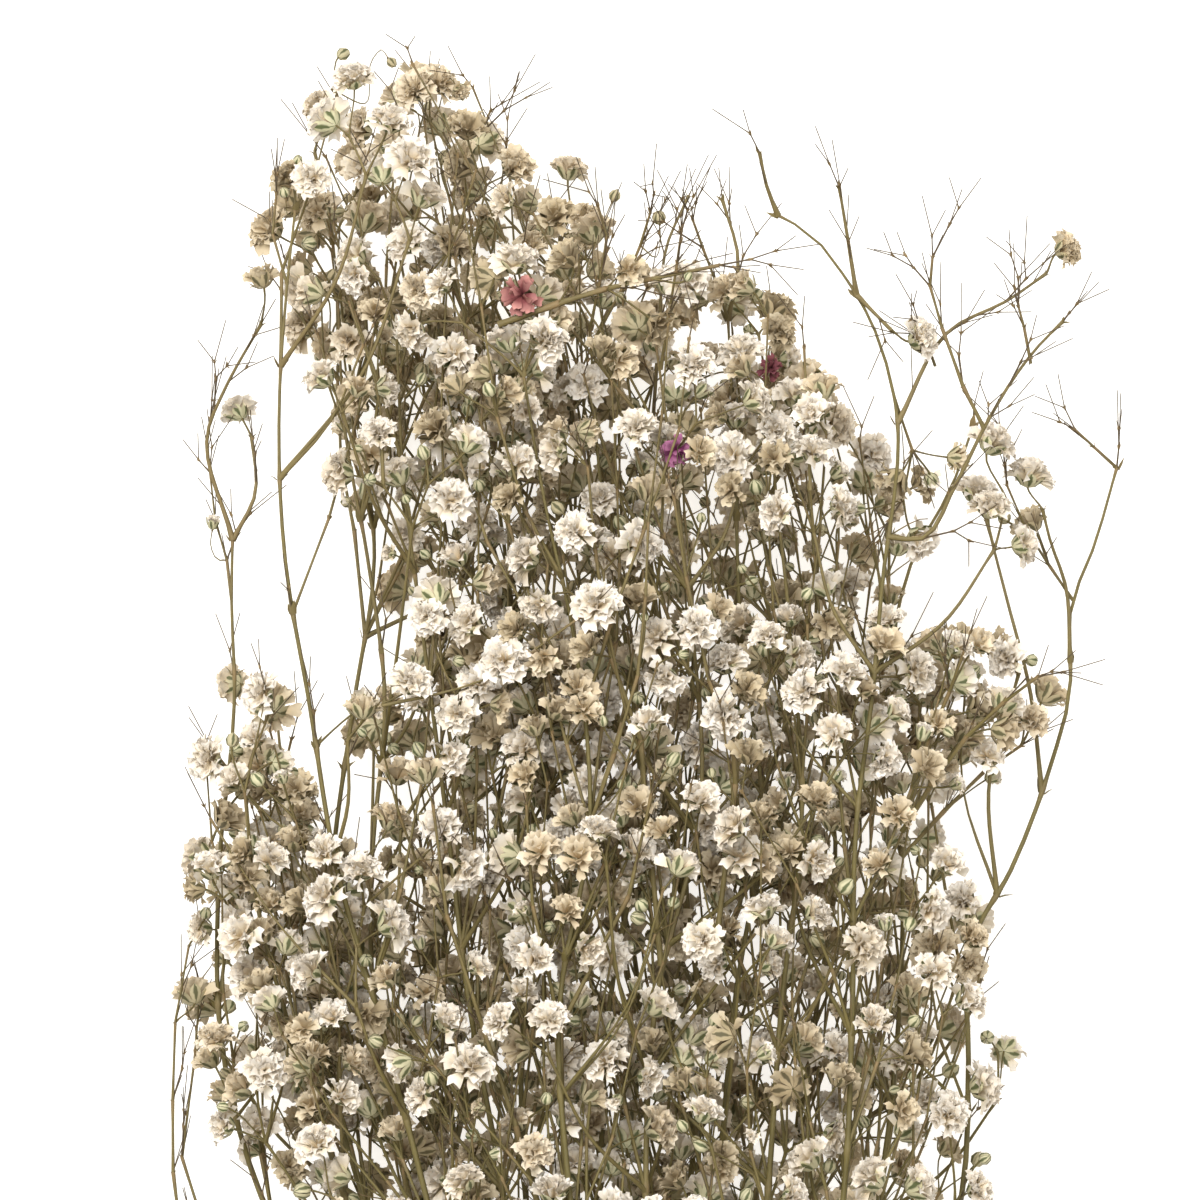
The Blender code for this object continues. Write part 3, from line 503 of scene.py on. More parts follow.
# %% Stalks
class Stalk:
    """One stem: its rings from the cut end to the tip. Those within the head are joints."""

    def __init__(self, points, draw):
        self.rings = [(points[0], None)]
        tie, base = level_of(TIE_PX), level_of(LOWEST_JOINT_PX)
        levels = (tie - WAIST_HALF, tie + WAIST_HALF)
        due = BARE_STEP
        for before, here, after in zip(points, points[1:], points[2:-TIP_POINTS]):
            due -= ROUTE_STEP
            at_waist = any(before[1] < level <= here[1] for level in levels)
            if due > 0 and not at_waist:
                continue
            if here[1] < base:
                joint, due = None, BARE_STEP
            else:
                joint = new_joint(here, after - before, SECTORS, draw)
                due = NODE_STEP * draw.uniform(*NODE_STRAY)
            self.rings.append((here, joint))
        self.tip = new_joint(points[-1], points[-1] - points[-3], SECTORS, draw)
        self.rings.append((points[-1], self.tip))

    def enter(self, thicket):
        """Adds the stalk's segments to the thicket."""
        for (start, a), (end, b) in zip(self.rings, self.rings[1:]):
            ends = [j.number if j else -1 for j in (a, b)]
            thicket.add(start, end, radius_at(end[1]) * KNUCKLE_SWELL, ends)

    def joints(self):
        """The stalk's joints, from the lowest to its tip."""
        return [joint for _, joint in self.rings if joint]


# %% [markdown]
# Branches, twigs and flowers are grown in that order. For each one, many are drawn at random, and
# the one that reaches the emptiest place is kept. That is how a plant fills its space, and it keeps
# shoots from crossing.

# %% Branches
# in radians: how far a shoot turns from its sector's middle, and leans away from the joint's axis
BRANCH_TURN, BRANCH_LEAN = 0.45, (0.45, 0.85)
ELBOW_OUT, ELBOW_IN = 0.12, 0.22  # a branch leans more below its elbow, and less above it
LEAST_LEAN = 0.15  # how far it leans at least
BRANCH_LOWEST = 4.5


def reach(joint, draw):
    """A random branch from a joint: its sector, elbow, end and final direction."""
    sector = draw.choice((0, 2))
    azimuth = joint.azimuth(sector) + draw.uniform(-BRANCH_TURN, BRANCH_TURN)
    length, lean = draw.uniform(*BRANCH_LENGTH), draw.uniform(*BRANCH_LEAN)
    outward = leaning(joint.axis, lean + ELBOW_OUT, azimuth)
    inward = leaning(joint.axis, max(lean - ELBOW_IN, LEAST_LEAN), azimuth)
    elbow = joint.place + outward * length * 0.5
    return sector, elbow, elbow + inward * length * 0.5, inward


def legs_of(joint, elbow, end):
    """The segments of a branch: its thick foot, and its two halves."""
    foot = joint.place + unit(elbow - joint.place) * FOOT_LENGTH
    return (
        (joint.place, foot, FOOT_RADIUS),
        (joint.place, elbow, BRANCH_RADIUS),
        (elbow, end, BRANCH_RADIUS),
    )


def grow_branch(joints, thicket, draw, heads):
    """Of many random branches, the one that reaches the emptiest part of the head."""
    best, best_room = None, 0.0
    for _ in range(BRANCH_TRIES):
        joint = draw.choice(joints)
        sector, elbow, end, inward = reach(joint, draw)
        if sector in joint.shoots or not in_head(end) or end[2] < BRANCH_LOWEST:
            continue
        room = space_round(end, heads)
        if room < best_room:
            continue
        legs = legs_of(joint, elbow, end)
        if all(thicket.room(*ends, thick + CLEAR, joint.number) > 0 for *ends, thick in legs):
            best, best_room = (joint, sector, elbow, end, inward), room
    if best is None:
        return None
    joint, sector, elbow, end, inward = best
    head = new_joint(end, inward, SECTORS, draw)
    joint.bear(sector, "branch", [elbow], head)
    for leg, other in zip(legs_of(joint, elbow, end), (-1, -1, head.number)):
        thicket.add(*leg, (joint.number, other))
    heads.append(end)
    return head


# %% Twigs
TWIG_TURN, TWIG_LEAN, TWIG_SECTORS = 0.3, (0.45, 0.75), 3
TWIG_LOWEST = 4.0


def grow_twig(joint, sector, thicket, draw):
    """A short twig that ends in a joint with three sectors."""
    for _ in range(TWIG_TRIES):
        azimuth = joint.azimuth(sector) + draw.uniform(-TWIG_TURN, TWIG_TURN)
        outward = leaning(joint.axis, draw.uniform(*TWIG_LEAN), azimuth)
        end = joint.place + outward * draw.uniform(*TWIG_LENGTH)
        if not in_head(end) or end[2] < TWIG_LOWEST or not joint.has_room(outward):
            continue
        if thicket.room(joint.place, end, TWIG_RADIUS + CLEAR, joint.number) > 0:
            tip = new_joint(end, outward, TWIG_SECTORS, draw)
            joint.bear(sector, "twig", [], tip)
            thicket.add(joint.place, end, TWIG_RADIUS, (joint.number, tip.number))
            return tip
    return None


# %% Flowers
PEDICEL_TURN, PEDICEL_LEAN = 0.45, (0.40, 1.0)
# a pedicel's length, and how much its flower faces out of the head, and at random
PEDICEL = ((4.0, 9.5), 0.8, 0.45)
LEAST_BEND = 0.35  # cosine of the sharpest turn into a flower
LOWEST_FOOT = 0.9  # how low its foot may lie
HOVER, LAID = 1.7, 0.84  # in radii: a flower lower than the first comes to lie at the second


def settled(centre, radius):
    """A flower near the surface comes to lie on it, a little flattened."""
    if centre[2] < HOVER * radius:
        return np.array([centre[0], centre[1], LAID * radius])
    return centre


def outward_of(point):
    """The direction out of the head at a point, across the bunch: flowers turn that way."""
    away = np.array([point[0] * HEAD_HALF_DEPTH / HEAD_HALF_WIDTH, 0.0, point[2] - HEAD_MIDDLE])
    return away / HEAD_HALF_DEPTH


def try_flower(joint, outward, radius, form, draw):
    """Where a flower on a pedicel of a form would be: its foot, its facing and its middle."""
    length, out_of_head, spread = form
    foot = joint.place + outward * draw.uniform(*length)
    facing = unit(outward + out_of_head * outward_of(foot) + strays(spread, draw))
    centre = settled(foot + facing * BLOOM_CENTRE * radius, radius)
    return centre - facing * BLOOM_CENTRE * radius, facing, centre


def grow_flower(joint, sector, kind, thicket, draw, centres, tries=FLOWER_TRIES, goal=None):
    """A flower on a pedicel, nearest its goal or where the view is barest. Gives if it grew."""
    low, high = BLOOM_RADIUS if kind == "bloom" else BUD_RADIUS
    best, best_room = None, -math.inf
    for _ in range(tries):
        radius = draw.uniform(low, high)
        azimuth = joint.azimuth(sector) + draw.uniform(-PEDICEL_TURN, PEDICEL_TURN)
        outward = leaning(joint.axis, draw.uniform(*PEDICEL_LEAN), azimuth)
        foot, facing, centre = try_flower(joint, outward, radius, PEDICEL, draw)
        if facing @ unit(foot - joint.place) < LEAST_BEND or foot[2] < LOWEST_FOOT:
            continue
        if goal is None and not in_head(centre) or not joint.has_room(unit(foot - joint.place)):
            continue
        room = space_round(centre, centres) if goal is None else -np.linalg.norm(centre - goal)
        if room < best_room or thicket.room(centre, centre, radius + CLEAR, -2) < 0:
            continue
        if thicket.room(joint.place, foot, PEDICEL_RADIUS + CLEAR, joint.number) > 0:
            best, best_room = (foot, facing, radius, centre), room
    if best is None:
        return False
    foot, facing, radius, centre = best
    joint.bear(sector, kind, [foot], (facing, radius))
    thicket.add(joint.place, foot, PEDICEL_RADIUS, (joint.number, -1))
    thicket.add(centre, centre, radius, (-1, -1))
    centres.append(centre)
    return True


# %% Shoots listed one by one
def grow_shoots(stalks, thicket, draw, centres):
    """The listed shoots, which stand clear of the head."""
    for name, pixel, route, height, kind, goal in SHOOTS:
        target = from_view(pixel)
        joint = min(stalks[name].joints(), key=lambda j: np.hypot(*(j.place - target)[:2]))
        path = [joint.place, *rising(route, joint.place[2], height)]
        towards = azimuth_about(joint.axis, path[1] - path[0])
        if not joint.shoots:
            joint.phase = towards
        free = [s for s in range(SECTORS) if s not in joint.shoots]
        sector = max(free, key=lambda s: math.cos(joint.azimuth(s) - towards))
        end = new_joint(path[-1], path[-1] - path[-2], SECTORS, draw)
        joint.bear(sector, "branch", path[1:-1], end)
        foot = path[0] + unit(path[1] - path[0]) * FOOT_LENGTH
        thicket.add(path[0], foot, FOOT_RADIUS, (joint.number, -1))
        joins = [joint.number] + [-1] * (len(path) - 2) + [end.number]
        for i in range(len(path) - 1):
            thicket.add(path[i], path[i + 1], BRANCH_RADIUS, joins[i : i + 2])
        if kind:
            grow_flower(end, 0, kind, thicket, draw, centres, GOAL_TRIES, from_view(goal, height))


# %% The whole bunch
def grow_bunch():
    """All stalks with what grows from them, and the thicket they fill."""
    draw = random.Random(SEED)
    thicket = Thicket()
    stalks = {name: Stalk(points, draw) for name, points in lay_stalks(draw).items()}
    for stalk in stalks.values():
        stalk.enter(thicket)
    centres = []
    grow_shoots(stalks, thicket, draw, centres)
    joints = [joint for stalk in stalks.values() for joint in stalk.joints()[:-1]]
    ends = [stalk.tip for stalk in stalks.values()]
    heads = [end.place for end in ends]
    for _ in range(BRANCH_LIMIT):
        head = grow_branch(joints, thicket, draw, heads)
        if head:
            ends.append(head)
    tips = []
    for _ in range(2):
        for head in draw.sample(ends, len(ends)):
            sector = draw.randrange(SECTORS)
            if len(tips) < TWIG_LIMIT and sector not in head.shoots:
                tip = grow_twig(head, sector, thicket, draw)
                if tip:
                    tips.append(tip)
    tips += ends
    for kind, limit in (("bloom", BLOOM_LIMIT), ("bud", BUD_LIMIT)):
        placed = 0
        for sector in range(SECTORS):
            for joint in draw.sample(tips, len(tips)):
                if sector < joint.sectors and sector not in joint.shoots and placed < limit:
                    placed += grow_flower(joint, sector, kind, thicket, draw, centres)
    for end in ends + joints:
        drop_bare_twigs(end)
    return stalks, thicket


def drop_bare_twigs(joint):
    """Leaves out the twigs that bear nothing."""
    for sector, (kind, _, end) in list(joint.shoots.items()):
        if kind == "twig" and not end.shoots:
            del joint.shoots[sector]


# %% Where the florets lie
def lodge(pixel, radius, thicket, draw):
    """A floret's foot and facing near a pixel: on a twig, clear of the rest and little hidden."""
    target = from_view(pixel)
    n = thicket.count
    starts, ends, radii = thicket.starts[:n], thicket.ends[:n], thicket.radii[:n]
    best, lowest = None, math.inf
    for i in np.repeat(np.arange(n), FLORET_TRIES):
        start, end, thickness = starts[i], ends[i], radii[i]
        on = start + (end - start) * draw.uniform(*FLORET_ON_TWIG)
        aside = math.hypot(*(on - target)[:2])
        if aside > FLORET_REACH or thickness > BRANCH_RADIUS:
            continue
        facing = unit(np.array([*(draw.gauss(0, FLORET_TILT) for _ in range(2)), 1.0]))
        twig = unit(end - start)
        foot = on + unit(facing - (facing @ twig) * twig) * (thickness + FLORET_GAP)
        centre = foot + facing * radius
        above = gaps_to(centre, centre + (0, 0, 2 * HEAD_HALF_DEPTH), starts, ends) - radii
        cost = (above < FLORET_COVER * radius).sum() + FLORET_ASIDE * aside - FLORET_RISE * foot[2]
        if cost < lowest and thicket.room(centre, centre, radius) > FLORET_ROOM * FLORET_GAP:
            best, lowest = (foot, facing, radius), cost
    return best


def lodge_florets(thicket):
    """The foot, the facing and the radius of each floret."""
    draw = random.Random(FLORET_SEED)
    return {name: lodge(*where, thicket, draw) for name, where in FLORETS.items()}


# %% Grow it
stalks, thicket = grow_bunch()
routes = lay_stalks(random.Random(SEED))
florets = lodge_florets(thicket)
print("stalks:", len(stalks), " segments and flowers:", thicket.count, " florets:", len(florets))

# %% [markdown]
# The rule has its own zero. The tie is found in both, so the difference of its two places is what
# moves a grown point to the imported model.

# %% From the rule's place to the model's
tie_low, tie_high = (np.array(corner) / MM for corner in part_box("tie"))
SHIFT = ((tie_low + tie_high) / 2 - from_view((VIEW_X_PX, TIE_PX), tie_middle())) * (1, 1, 0)


def placed(points):
    """Points of the rule, in millimetres, as points of the model, in metres."""
    return (np.asarray(points) + SHIFT) * MM


print("shift in mm:", SHIFT.round(3))

# %% [markdown]
# A dried bunch also holds much that is too fine for solids: thin side shoots, late flowers that
# fill the gaps, older ones deep inside, drawn browner there as painted shade, buds, and hair-thin
# pedicels that lost theirs. They grow here from the joints that are there, each where it has room,
# and a flower goes where the view is barest. Twigs that bear nothing end in bare sprays, which fork
# in two and run out in straight threads.

# %% Sizes of the small extras
EXTRA_SEED = 5
# smallest and largest radius, share of it that is kept free, places tried for each, and most of all
EXTRAS = {
    "late_bloom": (3.2, 4.5, 0.46, 10, 330),
    "deep_bloom": (3.2, 4.4, 0.36, 24, 420),
    "half_open": (2.0, 2.8, 0.60, 10, 110),
    "small_bud": (1.1, 1.9, 0.80, 4, 260),
    "thread": (0.1, 0.1, 1.0, 2, 400),
}
THREAD_RADIUS = 0.12
FINE_RADIUS, FINE_LOWEST = 0.22, 2.5
FINE_BRANCHES, FINE_TRIES = 120, 6
FINE_THICK, FINE_THIN = 0.32, 0.20
SIDE_SHOOTS, DEEP_SHOOTS, FRONT_SHOOTS = 110, 180, 110
FRONT_RISE = 10.0  # height above the head's middle from which a stalk lies in front
AIRY_PX, AIRY_SHARE = 270, 0.15  # pixel row above which few late flowers grow, and how few
SIDE_STEP, SIDE_STEPS, SIDE_TRIES = (12.0, 20.0), (3, 6), 8
SIDE_LEAN, SIDE_RISE, SIDE_STRAY = (0.25, 0.6), 0.2, 0.12  # how it leans away, turns up and strays
SIDE_THICK, SIDE_THIN = (0.26, 0.40), 0.16
ALONG = np.array([0.0, 1.0, 0.0])  # up the bunch
# thin shoots given one by one: the stalk that each belongs to, the pixel and height where it leaves
# that, its joints in pixels, its height at the end, and its thickness at both ends
FINE_SHOOTS = (
    ("front_middle", (500, 330), 62, (
        (560, 309), (606, 295), (650, 286), (716, 273),
    ), 68, (0.62, 0.28)),
    ("right_fork", (976, 432), 65, (
        (955, 391), (934, 334), (922, 294), (924, 266),
    ), 72, (0.38, 0.18)),
    ("right_fork", (1021, 369), 68, ((1014, 334), (1008, 314)), 71, (0.26, 0.16)),
    ("right_fork", (930, 370), 58, ((922, 348), (908, 338)), 60, (0.24, 0.16)),
    ("right_fork", (889, 400), 60, ((908, 452), (900, 500)), 50, (0.28, 0.18)),
    ("far_right", (1116, 468), 38, ((1092, 447), (1073, 430)), 42, (0.26, 0.15)),
    ("far_right", (1072, 600), 38, ((1048, 566), (1024, 530), (1004, 486)), 46, (0.30, 0.17)),
    ("far_left", (250, 1340), 33, (
        (182, 1250), (173, 1172), (173, 1100), (176, 1022), (190, 945),
    ), 40, (0.40, 0.18)),
    ("far_left", (258, 1330), 33, (
        (206, 1240), (180, 1160), (193, 1055), (197, 985),
    ), 26, (0.36, 0.18)),
    ("far_left", (231, 600), 34, ((226, 560), (214, 520), (208, 470)), 30, (0.26, 0.16)),
    ("centre", (590, 330), 38, ((600, 280), (607, 238), (598, 208)), 44, (0.32, 0.17)),
    ("centre", (592, 345), 38, ((622, 290), (640, 248), (650, 216)), 50, (0.32, 0.17)),
    ("right_middle", (728, 320), 36, ((716, 284), (702, 250), (692, 224)), 50, (0.30, 0.17)),
    ("middle_high", (660, 372), 52, ((668, 318), (676, 268), (680, 238)), 62, (0.34, 0.17)),
    ("high_back", (462, 165), 24, ((478, 132), (490, 108)), 28, (0.26, 0.16)),
    ("left_long", (292, 290), 58, ((278, 240), (282, 200)), 60, (0.28, 0.16)),
    ("left_inner", (565, 1330), 52, (
        (539, 1197), (517, 1117), (485, 1019), (450, 908), (437, 800),
    ), 70, (0.62, 0.26)),
    ("centre", (600, 1340), 52, (
        (565, 1197), (561, 1019), (628, 890), (650, 790),
    ), 71, (0.66, 0.28)),
    ("centre", (561, 1019), 62, ((534, 899), (528, 800)), 69, (0.40, 0.22)),
    ("right_middle", (712, 960), 56, (
        (733, 781), (731, 745), (707, 679), (684, 577), (672, 500),
    ), 71, (0.55, 0.24)),
    ("middle_high", (660, 960), 56, (
        (649, 839), (640, 737), (611, 657), (595, 550), (588, 470),
    ), 71, (0.55, 0.24)),
    ("right_fork", (900, 830), 46, (
        (930, 780), (962, 735), (998, 700), (1030, 675),
    ), 62, (0.50, 0.26)),
    ("right_fork", (905, 810), 44, ((925, 740), (945, 690), (958, 650)), 60, (0.44, 0.24)),
    ("right_inner", (900, 860), 34, ((945, 810), (985, 770), (1020, 745)), 40, (0.44, 0.24)),
)
# single flowers and buds given one by one: the pixels of each one's curved pedicel, which starts
# from the joint nearest to the first, how much it rises, its kind and its radius
LONE_PEDICEL, LONE_NECK = (0.13, 0.10), 0.3
LONE_FLOWERS = (
    (((361, 95), (369, 50), (378, 41), (385, 50)), 3, "small_bud", 1.3),
    (((415, 106), (395, 94)), -4, "late_bloom", 2.7),
    (((431, 114), (443, 84), (449, 74), (455, 82)), 5, "half_open", 2.5),
    (((294, 222), (291, 205)), 2, "small_bud", 1.3),
    (((590, 246), (602, 220), (612, 198)), 3, "small_bud", 1.5),
    (((655, 260), (660, 240), (659, 228)), 3, "small_bud", 1.7),
    (((218, 560), (210, 545), (212, 530)), 2, "half_open", 2.2),
)

# %% Every joint of a stem
def all_joints(stalk):
    """The joints of one stem, from the stalk's own out to the tips of the twigs."""
    found = stalk.joints()
    for joint in found:
        found += [end for kind, _, end in joint.shoots.values() if kind in ("branch", "twig")]
    return found


# %% Thin shoots
def join_fine(joint, route, thick, thin):
    """Adds a thin shoot along a route, and gives the joint at its end."""
    before = route[-2] if len(route) > 1 else joint.place
    head = Joint(route[-1], unit(route[-1] - before), SECTORS, 0.0)
    joint.fine.append((route, head, thick, thin))
    for start, end in zip([joint.place, *route], route):
        thicket.add(start, end, FINE_RADIUS, (joint.number, head.number))
    return head


def joint_on(owner, place, axis):
    """A joint part way along a shoot of the owner, which draws nothing of its own."""
    joint = Joint(place, axis, SECTORS, 0.0)
    owner.fine.append(([], joint, 0.0, 0.0))
    return joint


def join_chain(joint, route, thick, thin):
    """Adds a thin shoot with a joint at each point of its route, and gives those joints."""
    heads = []
    steps = np.linspace(thick, thin, len(route) + 1)
    for place, start, end in zip(route, steps, steps[1:]):
        joint = join_fine(joint, [place], start, end)
        heads.append(joint)
    return heads


def is_clear(joint, route):
    """Whether a thin shoot along a route has room, and lies in the head."""
    if any(not in_head(place) or place[2] < FINE_LOWEST for place in route):
        return False
    segments = zip([joint.place, *route], route)
    return all(thicket.room(start, end, FINE_RADIUS, joint.number) > 0 for start, end in segments)


def add_fine_branch(joint, draw):
    """Tries a few routes for a thin branch."""
    for _ in range(FINE_TRIES):
        _, elbow, end, _ = reach(joint, draw)
        if is_clear(joint, [elbow, end]):
            return [join_fine(joint, [elbow, end], FINE_THICK, FINE_THIN)]
    return []


def add_side_shoot(joint, draw):
    """Tries a few routes for a long thin shoot that runs up beside its stalk."""
    for _ in range(SIDE_TRIES):
        way = any_way(joint.axis, SIDE_LEAN, draw)
        place, route = joint.place, []
        for _ in range(draw.randint(*SIDE_STEPS)):
            place = place + way * draw.uniform(*SIDE_STEP)
            route.append(place)
            way = unit(way + SIDE_RISE * ALONG + strays(SIDE_STRAY, draw))
        if is_clear(joint, route):
            return join_chain(joint, route, draw.uniform(*SIDE_THICK), SIDE_THIN)
    return []


def add_fine_shoot(name, pixel, height, route, top, thickness):
    """A listed thin shoot, with a joint at each of its pixels."""
    first = from_view(pixel, height)
    route = rising(route, height, top)
    owner = min(stalks[name].joints(), key=lambda j: np.linalg.norm(j.place - first))
    return join_chain(joint_on(owner, first, unit(route[0] - first)), route, *thickness)


def add_lone_flower(joints, pixels, rise, kind, radius):
    """A single listed flower or bud. Gives its middle."""
    first = from_view(pixels[0], HEAD_MIDDLE)
    joint = min(joints, key=lambda j: np.linalg.norm((j.place - first)[:2]))
    heights = joint.place[2] + np.linspace(0, rise, len(pixels))
    route = [from_view(pixel, at) for pixel, at in zip(pixels, heights)]
    head = join_fine(joint, route, *LONE_PEDICEL)
    head.extras.append((kind, head.place + LONE_NECK * head.axis, head.axis, radius))
    centre = head.place + head.axis * BLOOM_CENTRE * radius
    thicket.add(centre, centre, radius, (-1, -1))
    return centre


# %% Bright and dark places of the head
# pixel of the middle, half width and half height: clusters of fresh flowers, and where stalks show
FRESH_PLACES = (
    (535, 680, 80, 75), (945, 690, 90, 80), (255, 850, 80, 90), (300, 930, 70, 60),
    (500, 400, 70, 80), (675, 1040, 55, 55), (330, 1060, 80, 60), (770, 400, 70, 60),
    (600, 830, 60, 60), (730, 830, 60, 50),
)
THIN_PLACES = (
    (560, 560, 60, 55), (740, 565, 90, 45), (455, 820, 85, 35), (625, 960, 45, 55),
    (485, 1130, 60, 70), (845, 540, 55, 40), (395, 620, 35, 60), (830, 930, 50, 60),
)


def lies_in(point, places):
    """Whether a point is seen in one of some oval places."""
    x, y = to_view(point)
    return any(((x - cx) / wide) ** 2 + ((y - cy) / high) ** 2 < 1 for cx, cy, wide, high in places)


# %% Late flowers, buds and bare threads
EXTRA_LEAN, EXTRA_PEDICEL = (0.25, 1.15), ((3.5, 11.0), 0.35, 0.55)
EXTRA_BEND, EXTRA_LOWEST = 0.3, 0.6
SMALLEST_BLOOM = 2.8
THIN_DEPTH = 14.0  # below the head's middle, where thin places are filled again
FRESH_PULL = 1.7  # how much barer a bright place seems than it is, so flowers gather there


def add_extra(joints, kind, centres, draw):
    """Of several random places, takes where the view is barest. Gives whether there was one."""
    low, high, kept, tries, _ = EXTRAS[kind]
    best, barest = None, 0.0
    for joint in draw.choices(joints, k=tries):
        radius = draw.uniform(low, high)
        outward = any_way(joint.axis, EXTRA_LEAN, draw)
        foot, facing, centre = try_flower(joint, outward, radius, EXTRA_PEDICEL, draw)
        bareness = space_round(centre, centres)
        if lies_in(centre, FRESH_PLACES):
            bareness *= FRESH_PULL
        if bareness < barest or foot[2] < EXTRA_LOWEST or not in_head(centre):
            continue
        large = radius > SMALLEST_BLOOM
        if large and foot[1] > level_of(AIRY_PX) and draw.random() > AIRY_SHARE:
            continue
        if large and foot[2] > HEAD_MIDDLE - THIN_DEPTH and lies_in(foot, THIN_PLACES):
            continue
        if facing @ unit(foot - joint.place) < EXTRA_BEND:
            continue
        if thicket.room(centre, centre, kept * radius) < 0:
            continue
        if thicket.room(joint.place, foot, THREAD_RADIUS, joint.number) > 0:
            best, barest = (joint, foot, facing, radius, centre), bareness
    if best is None:
        return False
    joint, foot, facing, radius, centre = best
    joint.extras.append((kind, foot, facing, radius))
    thicket.add(joint.place, foot, THREAD_RADIUS, (joint.number, -1))
    thicket.add(centre, centre, kept * radius, (-1, -1))
    if kind != "thread":
        centres.append(centre)
    return True


# %% Bare sprays
SPRAY_STEPS = ((4.5, 9.0), (2.5, 5.0), (4.0, 7.0))  # lengths of threads, and of each level below
FORK_AHEAD, FORK_ASIDE, SPRAY_LEAN = (0.1, 0.4), (0.45, 0.85), (0.1, 0.6)
BOX_MARGIN = 0.3
SPRAY_ROUTE_STEP = 3.0
box_low, box_high = (np.array(corner) / MM - SHIFT for corner in (cad_low, cad_high))


def add_spray(joint, start, way, level, draw):
    """A bare twig that forks in two again and again, and ends in straight hair-thin threads."""
    end = start + way * draw.uniform(*SPRAY_STEPS[level])
    end = np.clip(end, box_low + BOX_MARGIN, box_high - BOX_MARGIN)
    joint.sprays.append((start, end, level))
    if not level:
        return
    azimuth = draw.uniform(0, 2 * math.pi)
    add_spray(joint, end, leaning(way, draw.uniform(*FORK_AHEAD), azimuth), level - 1, draw)
    aside = leaning(way, draw.uniform(*FORK_ASIDE), azimuth + math.pi)
    add_spray(joint, end, aside, draw.choice((0, level - 1)), draw)


# %% Where bare sprays stand
def bare_joints(joints):
    """Joints outside the head that bear nothing, and new ones along the shoots that stand clear."""
    found = [joint for joint in joints if not joint.shoots and not in_head(joint.place)]
    for joint in joints:
        for kind, points, end in list(joint.shoots.values()):
            if kind == "branch" and not in_head(end.place):
                line = smooth_route([joint.place, *points, end.place], SPRAY_ROUTE_STEP)
                for before, place, after in zip(line[1::2], line[2::2], line[3::2]):
                    found.append(joint_on(joint, place, unit(after - before)))
    return found


# %% Add the extras
def add_extras():
    """Adds every extra to the joints of the stems. Gives how many of each there are."""
    draw = random.Random(EXTRA_SEED)
    stands = [joint for stalk in stalks.values() for joint in stalk.joints()[:-1]]
    joints = [joint for stalk in stalks.values() for joint in all_joints(stalk)]
    bare = bare_joints(joints)
    chains = [add_fine_shoot(*shoot) for shoot in FINE_SHOOTS]
    lows = [joint for joint in stands if joint.place[2] < HEAD_MIDDLE]
    highs = [joint for joint in stands if joint.place[2] > HEAD_MIDDLE + FRONT_RISE]
    sides = [(stands, SIDE_SHOOTS), (lows, DEEP_SHOOTS), (highs, FRONT_SHOOTS)]
    sides = [joint for choice, count in sides for joint in draw.choices(choice, k=count)]
    fine = [head for joint in sides for head in add_side_shoot(joint, draw)]
    for joint in draw.choices(joints, k=FINE_BRANCHES):
        fine += add_fine_branch(joint, draw)
    joints += fine + sum(chains, [])
    counts = {"fine joints": len(fine)}
    n = thicket.count
    centres = list(thicket.starts[:n][(thicket.starts[:n] == thicket.ends[:n]).all(1)])
    for foot, facing, radius in florets.values():
        thicket.add(foot + radius * facing, foot + (0, 0, HEAD_HALF_DEPTH), radius, (-1, -1))
    centres += [add_lone_flower(joints, *flower) for flower in LONE_FLOWERS]
    for kind, (*_, limit) in EXTRAS.items():
        counts[kind] = sum(add_extra(joints, kind, centres, draw) for _ in range(limit))
    edge = [j for j in joints if not (j.shoots or j.extras or j.fine or j in bare)]
    levels = [(joint, draw.choice((0, 1, 1, 2))) for joint in bare] + [(joint, 1) for joint in edge]
    placed_by_hand = [joint for chain in chains for joint in chain]
    levels += [(joint, level) for joint in placed_by_hand for level in (0, draw.choice((0, 1, 2)))]
    for joint, level in levels:
        add_spray(joint, joint.place, any_way(joint.axis, SPRAY_LEAN, draw), level, draw)
    counts["bare sprays"] = len(levels)
    return counts


print("extras:", add_extras())

# %% [markdown]
# What is drawn of a stem is of two sorts. Strands are lines with a thickness and a tone: stalks,
# branches, twigs and pedicels. Settings are points where a ready shape is set: flowers, and the
# small bracts at the joints. Both are collected first, as plain numbers, and made into meshes
# afterwards.

# %% Tones and ages
PAINT_SEED = 11
OLIVE, NODE_TONE, RUSSET = 0.12, 0.65, 0.85  # tone of cut ends, of joints, and of the finest twigs
SPRAY_RADII = (0.095, 0.13, 0.17)
PITH = 2.0  # tone of the pale core at a cut end
FRESH_SHARE, FADED_SHARE = 0.56, 0.30  # of the flowers; the others are brown with age
# Painted shade: flowers lower in the bunch are drawn browner, for the dark depth of the bunch.
DEPTH_SHADE_BY_HEIGHT = 0.017  # how many more are fresh a millimetre higher up
FADED_GAIN = 0.75  # how many more have faded where fewer are fresh
# The last range, for the deep flowers, is older: partly painted shade for the dark depth.
FRESH_AGE, FADED_AGE, BROWN_AGE, DEEP_AGE_AND_SHADE = (0.0, 0.25), (0.3, 0.6), (0.6, 1.0), (0.45, 1.0)
OPEN_KINDS = 5
KIND = {
    "half_open": (5, 6), "bud": (7, 8), "small_bud": (7, 8),
    "late_bloom": (9, 10, 11), "deep_bloom": (12, 13),
}
OLDER_SHARE, OLDER_PX = 0.34, 360  # how many fewer are fresh above that pixel row
paint = random.Random(PAINT_SEED)


